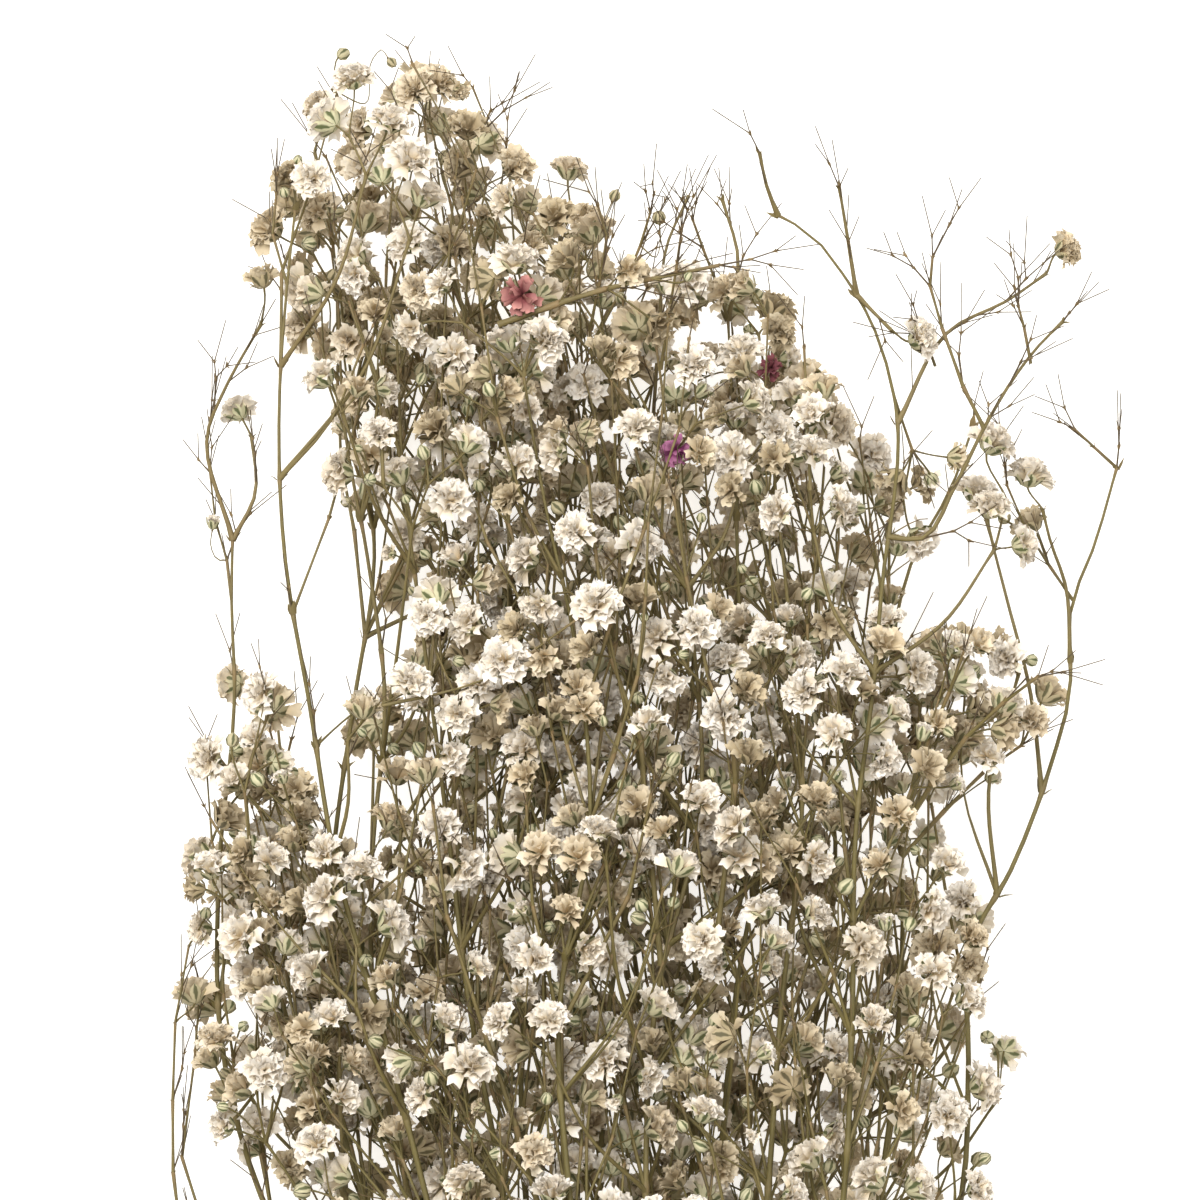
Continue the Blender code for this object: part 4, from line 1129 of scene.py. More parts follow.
def age_and_shade_of(centre):
    """How far a flower has gone from cream, 0, to brown, 1: drawn at random, and browner lower in
    the bunch as painted shade.
    """
    fresh = FRESH_SHARE + DEPTH_SHADE_BY_HEIGHT * (centre[2] - HEAD_MIDDLE)
    fresh -= OLDER_SHARE * (centre[1] > level_of(OLDER_PX))
    fresh += OLDER_SHARE * (lies_in(centre, FRESH_PLACES) - lies_in(centre, THIN_PLACES))
    faded = FADED_SHARE + FADED_GAIN * max(0.0, FRESH_SHARE - fresh)
    chance = paint.random()
    if chance < fresh:
        return paint.uniform(*FRESH_AGE)
    return paint.uniform(*(FADED_AGE if chance < fresh + faded else BROWN_AGE))


# %% Curves between two points
SWING = 0.6  # how far a curve swings out of the straight line


def bend(start, leave, end, arrive, count):
    """Points of a curve that leaves and arrives in given directions."""
    u = np.linspace(0, 1, count)[:, None]
    length = np.linalg.norm(end - start)
    swing = SWING * length * (u * (1 - u) ** 2 * leave + u * u * (u - 1) * arrive)
    swing -= SWING * (end - start) * (u * (1 - u) ** 2 + u * u * (u - 1))
    return start * (1 - u) + end * u + swing


# %% What one stem is drawn from
BRACT_LEAN, BRACT_SUNK = (0.25, 0.75), 0.3
BRACT_CURLS = (0.10, 0.25, -0.15)  # the three kinds of bract


class Drawing:
    """The strands of one stem, and the points that its flowers and bracts are set on."""

    def __init__(self):
        self.strands, self.flowers, self.bracts = [], [], []

    def strand(self, points, thickness, tone):
        """Adds a line. Thickness and tone are given at its two ends, or for every point."""
        count = len(points)
        ends = np.linspace(0, 1, count)
        spread = [np.interp(ends, np.linspace(0, 1, len(v)), v) for v in (thickness, tone)]
        self.strands.append((np.array(points), *spread))

    def flower(self, foot, facing, radius, kind):
        """Adds a flower on its foot, its form and turn drawn at random, its brown partly painted
        shade.
        """
        centre = foot + facing * BLOOM_CENTRE * radius
        number = paint.choice(KIND.get(kind, range(OPEN_KINDS)))
        heading = unit(np.cross(facing, strays(1, paint)))
        # Deep flowers and low ones come out browner: painted shade on top of their random
        # brownness.
        age_and_shade = paint.uniform(*DEEP_AGE_AND_SHADE) if kind == "deep_bloom" else age_and_shade_of(centre)
        self.flowers.append((centre, facing, heading, (radius,) * 3, number, age_and_shade))

    def bract(self, joint, azimuth, radius, lengths, tone):
        """A small pointed scale, pressed against the joint that it grows from."""
        length = paint.uniform(*lengths)
        outward = aside_of(joint.axis, azimuth)
        lean = paint.uniform(*BRACT_LEAN)
        heading = leaning(joint.axis, lean, azimuth)
        normal = math.sin(lean) * joint.axis - math.cos(lean) * outward
        place = joint.place + outward * radius - joint.axis * BRACT_SUNK
        kind = paint.randrange(len(BRACT_CURLS))
        self.bracts.append((place, -normal, heading, (length,) * 3, kind, tone))

    def bract_pair(self, joint, azimuth, *form):
        """Two bracts on opposite sides of a joint."""
        self.bract(joint, azimuth, *form)
        self.bract(joint, azimuth + math.pi, *form)


# %% [markdown]
# A stalk is thicker where shoots leave it. Its route is sampled closely there and widely elsewhere,
# which keeps the mesh light without losing the swollen joints.

# %% A stalk
KNOT_OFFSETS = np.array([-3.2, -1.9, -1.1, -0.4, 0.4, 1.1, 1.9, 3.2])
KNOT_SWELL, KNOT_LENGTH = 0.38, 1.5
KNOT_DARKER, KNOT_STAIN = 0.24, 1.8
LONG_STEP, LEAST_STEP, FINE_STEP = 6.0, 0.25, 1.0
BARE_KNOTS = 0.5  # share of the stalk, from its cut end, that swells at its rings with no joint too
TONE_STRAY, TONE_RISE = (-0.08, 0.12), 0.30  # how the tone differs by stalk, and rises upwards
PITH_SHARE, PITH_PROUD = 0.62, 0.04
# how much slimmer than its solid a stalk is drawn, from its cut end to its tip
SLIMMER = ((0, 0.35, 0.6, 0.85, 1), (0.96, 0.90, 0.72, 0.58, 0.40))


def draw_stalk(drawing, stalk, route):
    """Draws the stalk itself, swollen at its joints and cut square at its foot."""
    fine = smooth_route(route, FINE_STEP)
    length = distances_along(fine)
    places = [point for point, _ in stalk.rings[1:]]
    knots = [length[np.linalg.norm(fine - place, axis=1).argmin()] for place in places]
    bare = length[-1] * BARE_KNOTS
    knots = [at for at, (_, joint) in zip(knots, stalk.rings[1:]) if joint or at < bare]
    wanted = np.arange(0, length[-1], LONG_STEP)
    wanted = np.unique(np.concatenate([wanted, *[at + KNOT_OFFSETS for at in knots], [length[-1]]]))
    wanted = wanted[(wanted >= 0) & (wanted <= length[-1])]
    wanted = wanted[np.concatenate([[True], np.diff(wanted) > LEAST_STEP])]
    points = points_at(wanted, length, fine)
    near = np.abs(wanted[:, None] - np.array(knots)).min(1)
    swell = 1 + KNOT_SWELL * np.exp(-((near / KNOT_LENGTH) ** 2))
    share = wanted / length[-1]
    slimmer = np.interp(share, *SLIMMER)
    thickness = np.array([radius_at(point[1]) for point in points]) * swell * slimmer
    tone = OLIVE + paint.uniform(*TONE_STRAY) + TONE_RISE * share**2
    tone = tone + KNOT_DARKER * np.exp(-((near / KNOT_STAIN) ** 2))
    drawing.strand(points, thickness, tone)
    away = unit(points[0] - points[1])
    core = [points[0] - away, points[0] + away * PITH_PROUD]
    drawing.strand(core, [thickness[0] * PITH_SHARE] * 2, [PITH] * 2)


# %% [markdown]
# Branches bend at their elbows, twigs bow a little, and pedicels curve until they meet the flower
# squarely. All of them thin out on the way. They start inside the joint that they grow from, so no
# gap shows.

# %% Thin shoots and sprays
ROUTE_FINE, ROUTE_CURVED = 5.0, 1.2  # steps along thin shoots, and along curved pedicels
OLDER_SHOOT, OLDER_BRANCH = (0.0, 0.06), (0.02, 0.12)  # how much the tone goes up at each fork
OLDEST_SHOOT, OLDEST_BRANCH = 0.45, 0.5  # tones that thin shoots and branches don't pass
FINE_FOOT, FINE_HEAD = 1.15, 1.3  # how much thicker a thin shoot is at its foot and at its head
SPRAY_SHARES = (0, 0.15, 0.85, 1)
SPRAY_SWELLS = {False: (1.6, 1.0, 0.9, 0.8), True: (1.6, 1.0, 0.9, 1.7)}  # by whether it forks
BRACTS_FINE, BRACTS_SPRAY = (0.8, 1.4), (0.7, 1.2)  # lengths of the bracts
BRACTS_BRANCH, BRACTS_STALK = (1.0, 1.8), (1.6, 2.8)
BRACT_INSET, BRACT_INSET_FINE = 0.7, 0.8  # their distance from the axis, in radii
BRACT_TURN = 0.4  # how far a branch's bract strays sideways


def draw_fine(drawing, joint, tone):
    """Draws the thin shoots of a joint, with two bracts at the end of each."""
    for route, end, thick, thin in joint.fine:
        later = min(OLDEST_SHOOT, tone + paint.uniform(*OLDER_SHOOT))
        if route:
            step = ROUTE_CURVED if (thick, thin) == LONE_PEDICEL else ROUTE_FINE
            line = smooth_route([joint.place, *route], step)
            thickness = (thick * FINE_FOOT, thick, *[thin] * 3, thin * FINE_HEAD)
            drawing.strand(line, thickness, (tone, *[later] * 8, NODE_TONE))
            inset = thin * BRACT_INSET_FINE
            drawing.bract_pair(end, paint.uniform(0, 3), inset, BRACTS_FINE, NODE_TONE)
        draw_shoots(drawing, end, later)


def draw_sprays(drawing, joint):
    """Draws the bare sprays of a joint: level 0 is a thread, and the others end in a knot."""
    for start, end, level in joint.sprays:
        thick = SPRAY_RADII[level]
        tones = (NODE_TONE, RUSSET, RUSSET, NODE_TONE if level else RUSSET)
        line = [start + share * (end - start) for share in SPRAY_SHARES]
        drawing.strand(line, [thick * swell for swell in SPRAY_SWELLS[level > 0]], tones)
        if level:
            knot = Joint(end, unit(end - start), sectors=2, phase=paint.uniform(0, 6))
            drawing.bract_pair(knot, knot.phase, thick, BRACTS_SPRAY, NODE_TONE)


# %% Shoots
def draw_shoots(drawing, joint, tone):
    """Draws everything that grows from a joint, out to its flowers."""
    draw_fine(drawing, joint, tone)
    draw_sprays(drawing, joint)
    for kind, points, end in joint.shoots.values():
        if kind in ("branch", "twig"):
            draw_branch(drawing, joint, kind, points, end, tone)
        else:
            draw_pedicel(drawing, joint, points[0], *end, kind, tone)
    for kind, foot, facing, radius in joint.extras:
        draw_pedicel(drawing, joint, foot, facing, radius, kind, tone)


# thickness at shares of the length: thick at the foot, thin on the way, and swollen at the end
BRANCH_TAPER = ((0, 0.10, 0.94, 1), (0.60, 0.42, 0.25, 0.38))
TWIG_TAPER = ((0, 0.2, 0.85, 1), (0.34, 0.25, 0.20, 0.30))
BRANCH_ROUTE_STEP, CURVE_POINTS = 3.0, 6
TWIG_SWAY = 0.4  # how far a twig leaves along its joint


def draw_branch(drawing, joint, kind, points, end, tone):
    """Draws a branch or a twig, and what grows from the joint at its end."""
    later = min(OLDEST_BRANCH, tone + paint.uniform(*OLDER_BRANCH))
    if kind == "branch":
        line = smooth_route([joint.place, *points, end.place], BRANCH_ROUTE_STEP)
        taper, turns = BRANCH_TAPER, (0, 1)
    else:
        leave = unit(unit(end.place - joint.place) + TWIG_SWAY * joint.axis)
        line = bend(joint.place, leave, end.place, end.axis, CURVE_POINTS)
        taper, turns = TWIG_TAPER, (0,)
    thickness = np.interp(np.linspace(0, 1, len(line)), *taper)
    drawing.strand(line, thickness, (tone, later))
    inset = thickness[-1] * BRACT_INSET
    for turn in turns:
        azimuth = end.azimuth(0) + math.pi * turn + paint.uniform(-BRACT_TURN, BRACT_TURN)
        drawing.bract(end, azimuth, inset, BRACTS_BRANCH, later)
    draw_shoots(drawing, end, later)


PEDICEL_THICK, THREAD_TAPER = (0.13, 0.19), (0.15, 0.11, 0.08)
PEDICEL_TAPER = (1.5, 1.0, 1.0, 1.25)  # in its own thickness, from its foot to its flower
PEDICEL_PALER = 0.7  # its tone under the flower, in that at its foot
PEDICEL_SWAY, THREAD_STRAY = (0.1, 0.7), 0.7  # how it leaves along its joint, and a thread strays


def draw_pedicel(drawing, joint, foot, facing, radius, kind, tone):
    """Draws a pedicel with its flower, or a thread that bears none."""
    way = unit(foot - joint.place)
    leave = unit(way + paint.uniform(*PEDICEL_SWAY) * joint.axis)
    thick = paint.uniform(*PEDICEL_THICK)
    if kind == "thread":
        arrive = unit(facing + strays(THREAD_STRAY, paint))
        line = bend(joint.place, leave, foot, arrive, CURVE_POINTS - 1)
        drawing.strand(line, THREAD_TAPER, (tone, RUSSET))
        return
    line = bend(joint.place, leave, foot, facing, CURVE_POINTS)
    drawing.strand(line, [thick * share for share in PEDICEL_TAPER], (tone, tone * PEDICEL_PALER))
    drawing.flower(foot, facing, radius, kind)


# %% Draw every stem
JOINT_TONE_RISE, JOINT_TONE_STRAY = 0.34, 0.15


def draw_stem(name):
    """All that is drawn of one stem."""
    stalk = stalks[name]
    drawing = Drawing()
    draw_stalk(drawing, stalk, routes[name])
    low, high = routes[name][0][1], routes[name][-1][1]
    for joint in stalk.joints():
        share = (joint.place[1] - low) / (high - low)
        tone = OLIVE + JOINT_TONE_RISE * share**2 + paint.uniform(0, JOINT_TONE_STRAY)
        radius = radius_at(joint.place[1])
        drawing.bract_pair(joint, joint.azimuth(0), radius, BRACTS_STALK, tone)
        draw_shoots(drawing, joint, tone)
    return drawing


drawings = {name: draw_stem(name) for name in stalks}
print("strands:", sum(len(d.strands) for d in drawings.values()))
print("flowers and buds:", sum(len(d.flowers) for d in drawings.values()))

# %% [markdown]
# Geometry Nodes turn the strands into tubes and set the flowers on their points. A node tree is
# built from a few calls: one adds a node and fills its inputs, one starts a tree with named inputs,
# and one ends it with the finish.

# %% Building node trees
def connect(tree, socket, value):
    """Links an input to a value that is a socket, and sets it to any other."""
    if isinstance(value, bpy.types.NodeSocket):
        tree.links.new(value, socket)
    else:
        socket.default_value = value


def add_node(tree, kind, settings=None, **inputs):
    """Adds a node and fills its inputs, which are given by their names."""
    node = tree.nodes.new(kind)
    for name, value in (settings or {}).items():
        setattr(node, name, value)
    for name, value in inputs.items():
        socket = next(s for s in node.inputs if s.enabled and s.name.replace(" ", "_") == name)
        connect(tree, socket, value)
    return node


def start_tree(name, inputs):
    """A geometry tree with named inputs after its geometry. Gives the tree and its input node."""
    tree = bpy.data.node_groups.new(name, "GeometryNodeTree")
    tree.interface.new_socket("Geometry", in_out="OUTPUT", socket_type="NodeSocketGeometry")
    for label, kind in {"Geometry": "Geometry", **inputs}.items():
        tree.interface.new_socket(label, in_out="INPUT", socket_type="NodeSocket" + kind)
    return tree, tree.nodes.new("NodeGroupInput")


def named(tree, name, kind="FLOAT"):
    """The values that the points carry under a name."""
    node = add_node(tree, "GeometryNodeInputNamedAttribute", {"data_type": kind}, Name=name)
    return node.outputs[0]


def end_tree(tree, shape, finish):
    """Makes a shape real, gives it its finish and puts it out."""
    real = add_node(tree, "GeometryNodeRealizeInstances", Geometry=shape)
    done = add_node(tree, "GeometryNodeSetMaterial", Geometry=real.outputs[0], Material=finish)
    add_node(tree, "NodeGroupOutput", Geometry=done.outputs[0])
    return tree


# %% The tree that draws strands
def strand_tree():
    """Tubes along lines, as thick as their points say, and marked with how far along and round."""
    tree, given = start_tree("draw strands", {"Sides": "Int", "Finish": "Material"})
    lines = add_node(tree, "GeometryNodeMeshToCurve", Mesh=given.outputs["Geometry"])
    way = tree.nodes.new("GeometryNodeSplineParameter").outputs
    store, circle = "GeometryNodeStoreNamedAttribute", "GeometryNodeCurvePrimitiveCircle"
    marked = add_node(tree, store, Geometry=lines.outputs[0], Name="along", Value=way["Length"])
    ring = add_node(tree, circle, Resolution=given.outputs["Sides"], Radius=1.0)
    turned = add_node(tree, store, Geometry=ring.outputs[0], Name="round", Value=way["Factor"])
    tube = add_node(
        tree, "GeometryNodeCurveToMesh", Curve=marked.outputs[0], Profile_Curve=turned.outputs[0],
        Scale=named(tree, "thickness"), Fill_Caps=True,
    )
    smooth = add_node(tree, "GeometryNodeSetShadeSmooth", Geometry=tube.outputs[0])
    return end_tree(tree, smooth.outputs[0], given.outputs["Finish"])


# %% The tree that sets shapes on points
def setting_tree():
    """A shape on each point, turned and sized as the point says."""
    tree, given = start_tree("set shapes on points", {"Shapes": "Collection", "Finish": "Material"})
    shapes = add_node(
        tree, "GeometryNodeCollectionInfo", Collection=given.outputs["Shapes"],
        Separate_Children=True, Reset_Children=True,
    )
    ways = (named(tree, name, "FLOAT_VECTOR") for name in ("facing", "heading", "size"))
    facing, heading, size = ways
    turn = add_node(
        tree, "FunctionNodeAxesToRotation", {"primary_axis": "Z", "secondary_axis": "X"},
        Primary_Axis=facing, Secondary_Axis=heading,
    )
    spread = add_node(
        tree, "GeometryNodeInstanceOnPoints", Points=given.outputs["Geometry"],
        Instance=shapes.outputs[0], Pick_Instance=True, Instance_Index=named(tree, "kind", "INT"),
        Rotation=turn.outputs[0], Scale=size,
    )
    return end_tree(tree, spread.outputs[0], given.outputs["Finish"])


STRANDS, SETTINGS = strand_tree(), setting_tree()

# %% [markdown]
# A modifier runs a tree on a mesh. Its inputs are set by each socket's identifier, before the
# object is first evaluated. The result is taken as a plain mesh, and what only placed the shapes is
# dropped from it.

# %% Running a tree
def new_object(name, data):
    """An object of the scene: a mesh, a light or a camera."""
    made = bpy.data.objects.new(name, data)
    bpy.context.scene.collection.objects.link(made)
    return made


def grown(name, mesh, tree, **inputs):
    """The object that a tree makes of a mesh."""
    piece = new_object(name, mesh)
    modifier = piece.modifiers.new(tree.name, "NODES")
    modifier.node_group = tree
    for item in tree.interface.items_tree:
        if item.in_out == "INPUT" and item.name in inputs:
            modifier[item.identifier] = inputs[item.name]
    graph = bpy.context.evaluated_depsgraph_get()
    made = bpy.data.meshes.new_from_object(
        piece.evaluated_get(graph), preserve_all_data_layers=True, depsgraph=graph
    )
    piece.modifiers.clear()
    piece.data = made
    made.name = name
    for helper in ("facing", "heading", "size", "kind", "thickness"):
        if helper in made.attributes:
            made.attributes.remove(made.attributes[helper])
    return piece


# %% Numbers on points
def give(mesh, name, kind, values):
    """Stores one value for each point of a mesh."""
    key = "vector" if kind == "FLOAT_VECTOR" else "value"
    number = int if kind == "INT" else float
    mesh.attributes.new(name, kind, "POINT").data.foreach_set(key, np.array(values, number).ravel())


def strand_mesh(strands):
    """Chains of points with no faces, which carry thickness and tone."""
    points = np.concatenate([placed(line) for line, _, _ in strands])
    starts = np.cumsum([0] + [len(line) for line, _, _ in strands])
    edges = [(i, i + 1) for first, last in zip(starts, starts[1:]) for i in range(first, last - 1)]
    mesh = bpy.data.meshes.new("strands")
    mesh.from_pydata(points, edges, [])
    give(mesh, "thickness", "FLOAT", np.concatenate([t for _, t, _ in strands]) * MM)
    give(mesh, "tone", "FLOAT", np.concatenate([t for _, _, t in strands]))
    return mesh


def setting_mesh(settings, last, scale=MM, place=placed):
    """Points that carry how a shape is set on each: facing, heading, size, kind and one value."""
    places, facings, headings, sizes, kinds, extra = zip(*settings)
    mesh = bpy.data.meshes.new("settings")
    mesh.from_pydata(place(places), [], [])
    give(mesh, "facing", "FLOAT_VECTOR", facings)
    give(mesh, "heading", "FLOAT_VECTOR", headings)
    give(mesh, "size", "FLOAT_VECTOR", np.array(sizes) * scale)
    give(mesh, "kind", "INT", kinds)
    give(mesh, last, "FLOAT", extra)
    return mesh


# %% [markdown]
# Now the shapes. A petal of a double gypsophila is a wedge with a ruffled, toothed tip. Its mesh
# has fourteen triangles, because thousands of them are set, and inner petals, whose base is hidden,
# have eight. It runs from 0 to 1 along X and faces +Z, and each point carries how near the tip it
# is, which the colour uses.

# %% Shapes in a collection of their own
def shape_store(name):
    """A collection outside the scene, for shapes that a tree sets on points."""
    return bpy.data.collections.new(name)


def add_shape(store, name, corners, faces, values):
    """Adds a small mesh, with the values that its points carry, to a store of shapes."""
    mesh = bpy.data.meshes.new(name)
    mesh.from_pydata(corners, [], faces)
    for label, numbers in values.items():
        give(mesh, label, "FLOAT", numbers)
    mesh.shade_smooth()
    store.objects.link(bpy.data.objects.new(name, mesh))


# %% Petals
PETAL_ROWS = ((0.0, 0.030), (0.42, 0.120), (0.76, 0.235))  # distance from the base, and half width
# for each tooth of the tip: how far to the side, and distance from the base
TIP_TEETH = ((-1.0, 0.88), (-0.55, 1.0), (0.0, 0.92), (0.5, 0.99), (1.0, 0.87))
TIP_HALF = 0.260
RUFFLES = 4.5
# how far each form of petal arches, droops, ruffles and folds
OUTER_PETALS = (
    (0.12, 0.12, 0.11, 0.25), (0.18, 0.02, -0.13, 0.12), (0.05, 0.20, 0.14, -0.2),
    (0.14, -0.04, 0.09, 0.4),
)
INNER_PETALS = ((0.12, 0.04, 0.13, 0.30), (0.06, -0.10, -0.14, -0.25))


def petal(arch, droop, ruffle, fold):
    """Corners of a petal that arches up, droops and ruffles at its tip, and folds in its middle."""

    def corner(t, side, half):
        wave = ruffle * math.sin(RUFFLES * side + 2 * arch)
        height = arch * math.sin(math.pi * t) - droop * t**3 + wave * t * t
        return (t, side * half, height + fold * abs(side) * half)

    corners = [corner(t, side, half) for t, half in PETAL_ROWS for side in (-1, 0, 1)]
    return corners + [corner(t, side, TIP_HALF) for side, t in TIP_TEETH]


# four faces between three rows of three corners, which petals and bracts both have
ROW_FACES = [(first, first + 3, first + 4, first + 1) for first in (0, 1, 3, 4)]
TIP_FACES = [(6, 9, 10), (6, 10, 7), (7, 10, 11), (7, 11, 12), (7, 12, 8), (8, 12, 13)]
# an inner petal has only one corner of the first two rows, because other petals hide its base
INNER_CORNERS = (1, 6, 7, 8, 9, 10, 11, 12, 13)
INNER_FACES = [
    (0, 1, 2), (0, 2, 3), (1, 4, 5), (1, 5, 2), (2, 5, 6), (2, 6, 7), (2, 7, 3), (3, 7, 8),
]
petal_store = shape_store("petals")
for i, form in enumerate(OUTER_PETALS + INNER_PETALS):
    corners, faces = petal(*form), ROW_FACES + TIP_FACES
    if i >= len(OUTER_PETALS):
        corners, faces = [corners[c] for c in INNER_CORNERS], INNER_FACES
    add_shape(petal_store, f"petal_{i}", corners, faces, {"tip": [x for x, _, _ in corners]})


# %% [markdown]
# A double flower has some sixty petals, which leave the calyx one golden angle after another. The
# first ones lie low and the last ones stand up, evenly spread, so their tips make a dome. The kinds
# differ in how many petals they have and how far they open: five open flowers, two half-open ones,
# two buds, three late flowers and two old ones that are mostly hidden.

# %% Kinds of flower
GOLDEN_ANGLE = math.pi * (3 - math.sqrt(5))
PETAL_BASE = -0.50  # height above the flower's middle, in radii of the flower
INNER_SHARE = 0.40  # of a flower's petals, in the order that they leave the calyx
# petals, elevation of the first and of the last in degrees, their length, and how far they stray
BLOOMS = (
    (58, 18, 84, 1.04, 0.16),
    (62, 14, 84, 1.02, 0.20),
    (52, 12, 78, 1.06, 0.16),
    (58, 24, 86, 1.02, 0.20),
    (60, 10, 82, 1.02, 0.20),
    (30, 40, 86, 1.04, 0.14),
    (22, 58, 88, 1.02, 0.10),
    (5, 76, 88, 1.02, 0.05),
    (4, 80, 88, 0.98, 0.04),
    (38, 18, 82, 1.02, 0.16),
    (34, 12, 80, 1.02, 0.20),
    (36, 24, 84, 1.03, 0.18),
    (24, 12, 80, 1.03, 0.20),
    (22, 18, 82, 1.03, 0.22),
)
LATE_KINDS = 5
PETAL_TURN, PETAL_ROLL = 0.2, 0.6  # how far petals stray sideways and roll
CROWDING = 0.85  # below 1, more of them stand up than lie low
PETAL_LONG, PETAL_WIDE, BASE_RADIUS = (0.82, 1.05), (0.85, 1.25), 0.12
UP = np.array([0.0, 0.0, 1.0])


def petal_settings(count, low, high, length, stray, inner_share, draw):
    """Where each petal of a flower is set. Those past the inner share are plainer."""
    settings = []
    low, high = math.sin(math.radians(low)), math.sin(math.radians(high))
    for i in range(count):
        share = (i + 0.5) / count
        azimuth = i * GOLDEN_ANGLE + draw.gauss(0, PETAL_TURN)
        rise = math.asin(low + (high - low) * share**CROWDING) + draw.gauss(0, stray)
        away = np.array([math.cos(azimuth), math.sin(azimuth), 0.0])
        heading = math.cos(rise) * away + math.sin(rise) * UP
        normal = math.cos(rise) * UP - math.sin(rise) * away
        roll = draw.gauss(0, PETAL_ROLL)
        facing = math.cos(roll) * normal + math.sin(roll) * np.cross(heading, normal)
        place = away * BASE_RADIUS * (1 - share) + UP * PETAL_BASE
        long = length * draw.uniform(*PETAL_LONG)
        wide = long * draw.uniform(*PETAL_WIDE)
        inner = share > inner_share
        first, forms = (len(OUTER_PETALS), INNER_PETALS) if inner else (0, OUTER_PETALS)
        shape = first + draw.randrange(len(forms))
        settings.append((place, facing, heading, (long, wide, long), shape, draw.random()))
    return settings


# %% Petals gathered into flowers
def triangles(piece):
    """How many triangles a piece has."""
    return sum(len(face.vertices) - 2 for face in piece.data.polygons)


def store_flower(store, name, form, inner_share, draw):
    """Gathers a flower of the given form, and puts it into a store."""
    points = setting_mesh(petal_settings(*form, inner_share, draw), "stray", 1.0, np.array)
    flower = grown("gathered", points, SETTINGS, Shapes=petal_store)
    bpy.context.scene.collection.objects.unlink(flower)
    store.objects.link(flower)
    flower.name = name
    return flower


bloom_store = shape_store("blooms")
for i, form in enumerate(BLOOMS):
    finer = 0 if i >= len(BLOOMS) - LATE_KINDS else INNER_SHARE
    bloom = store_flower(bloom_store, f"bloom_{i}", form, finer, random.Random(i))
    print("bloom", i, "triangles:", triangles(bloom))


# %% [markdown]
# Under the petals sits the calyx: five sepals, each with a green stripe down its middle and a pale
# papery edge. Seen from below they are a green star. Each sepal is lofted along a profile of the
# calyx, from its foot to its tip. It covers its fifth of the circle at the foot and narrows towards
# the tip.

# %% Calyxes
SEPALS = 5
# for each row: distance from the axis, height above the middle, and share of its fifth it covers
OPEN_CALYX = (
    (0.05, -0.76, 1.0), (0.28, -0.68, 1.0), (0.50, -0.46, 0.90), (0.64, -0.27, 0.60),
    (0.74, -0.14, 0.08),
)
BELL_CALYX = (
    (0.05, -0.76, 1.0), (0.30, -0.66, 1.0), (0.48, -0.30, 1.0), (0.56, 0.06, 0.75),
    (0.62, 0.26, 0.10),
)
BUD_CALYX = (
    (0.05, -0.80, 1.0), (0.52, -0.56, 1.0), (0.74, -0.05, 1.0), (0.52, 0.50, 1.0),
    (0.10, 0.84, 0.6),
)
CALYXES = (
    (OPEN_CALYX,) * OPEN_KINDS + (BELL_CALYX,) * 2 + (BUD_CALYX,) * 2 + (OPEN_CALYX,) * LATE_KINDS
)
KEEL = 0.05  # how far a sepal's middle stands out
SEPAL_STRAY, SPLAY = 0.06, 0.05
CALYX_SEED = 50


def calyx(rows, draw):
    """Corners and faces of five sepals, and where each corner is across and along its sepal."""
    corners, faces, across_sepal, along_sepal = [], [], [], []
    for sepal in range(SEPALS):
        middle = 2 * math.pi * (sepal + draw.uniform(-SEPAL_STRAY, SEPAL_STRAY)) / SEPALS
        splay = draw.uniform(-SPLAY, SPLAY)
        first = len(corners)
        for row, (reach_out, height, cover) in enumerate(rows):
            share = row / (len(rows) - 1)
            for side in (-1, 0, 1):
                turn = middle + side * cover * math.pi / SEPALS
                keel = KEEL if side == 0 and 0 < share < 1 else 0
                radius = reach_out * (1 + splay * share) + keel
                x, y = radius * math.cos(turn), radius * math.sin(turn)
                corners.append((x, y, height + splay * share))
                across_sepal.append(side)
                along_sepal.append(share)
        for row in range(len(rows) - 1):
            for side in (0, 1):
                a = first + 3 * row + side
                faces.append((a, a + 1, a + 4, a + 3))
    return corners, faces, across_sepal, along_sepal


calyx_store = shape_store("calyxes")
for i, rows in enumerate(CALYXES):
    corners, faces, sides, rises = calyx(rows, random.Random(CALYX_SEED + i))
    add_shape(calyx_store, f"calyx_{i}", corners, faces, {"beside": sides, "rise": rises})


# %% [markdown]
# Bracts are the small brown scales at the joints, the remains of pairs of leaves.

# %% Bracts
BRACT_ROWS = ((0.0, 0.20), (0.45, 0.22), (1.0, 0.015))
BRACT_KEEL = 0.4  # how far its sides hang below its middle
bract_store = shape_store("bracts")
for i, curl in enumerate(BRACT_CURLS):
    corners = [
        (t, side * half, curl * t * t - BRACT_KEEL * half * abs(side))
        for t, half in BRACT_ROWS for side in (-1, 0, 1)
    ]
    add_shape(bract_store, f"bract_{i}", corners, ROW_FACES, {})


# %% [markdown]
# Finishes come next. Everything here is dry plant matter, so each finish has fine mottling. That is
# one shader group with named inputs, used by all of them.

# %% Mottling
def reckoned(tree, operation, *values):
    """The result of a sum with numbers and sockets, such as a product."""
    node = add_node(tree, "ShaderNodeMath", {"operation": operation})
    for socket, value in zip(node.inputs, values):
        connect(tree, socket, value)
    return node.outputs[0]


def ranged(tree, value, low, high, **inputs):
    """A value as a share of the way from low to high."""
    node = add_node(tree, "ShaderNodeMapRange", Value=value, From_Min=low, From_Max=high, **inputs)
    return node.outputs[0]


NOISE_RANGE = (0.3, 0.7)


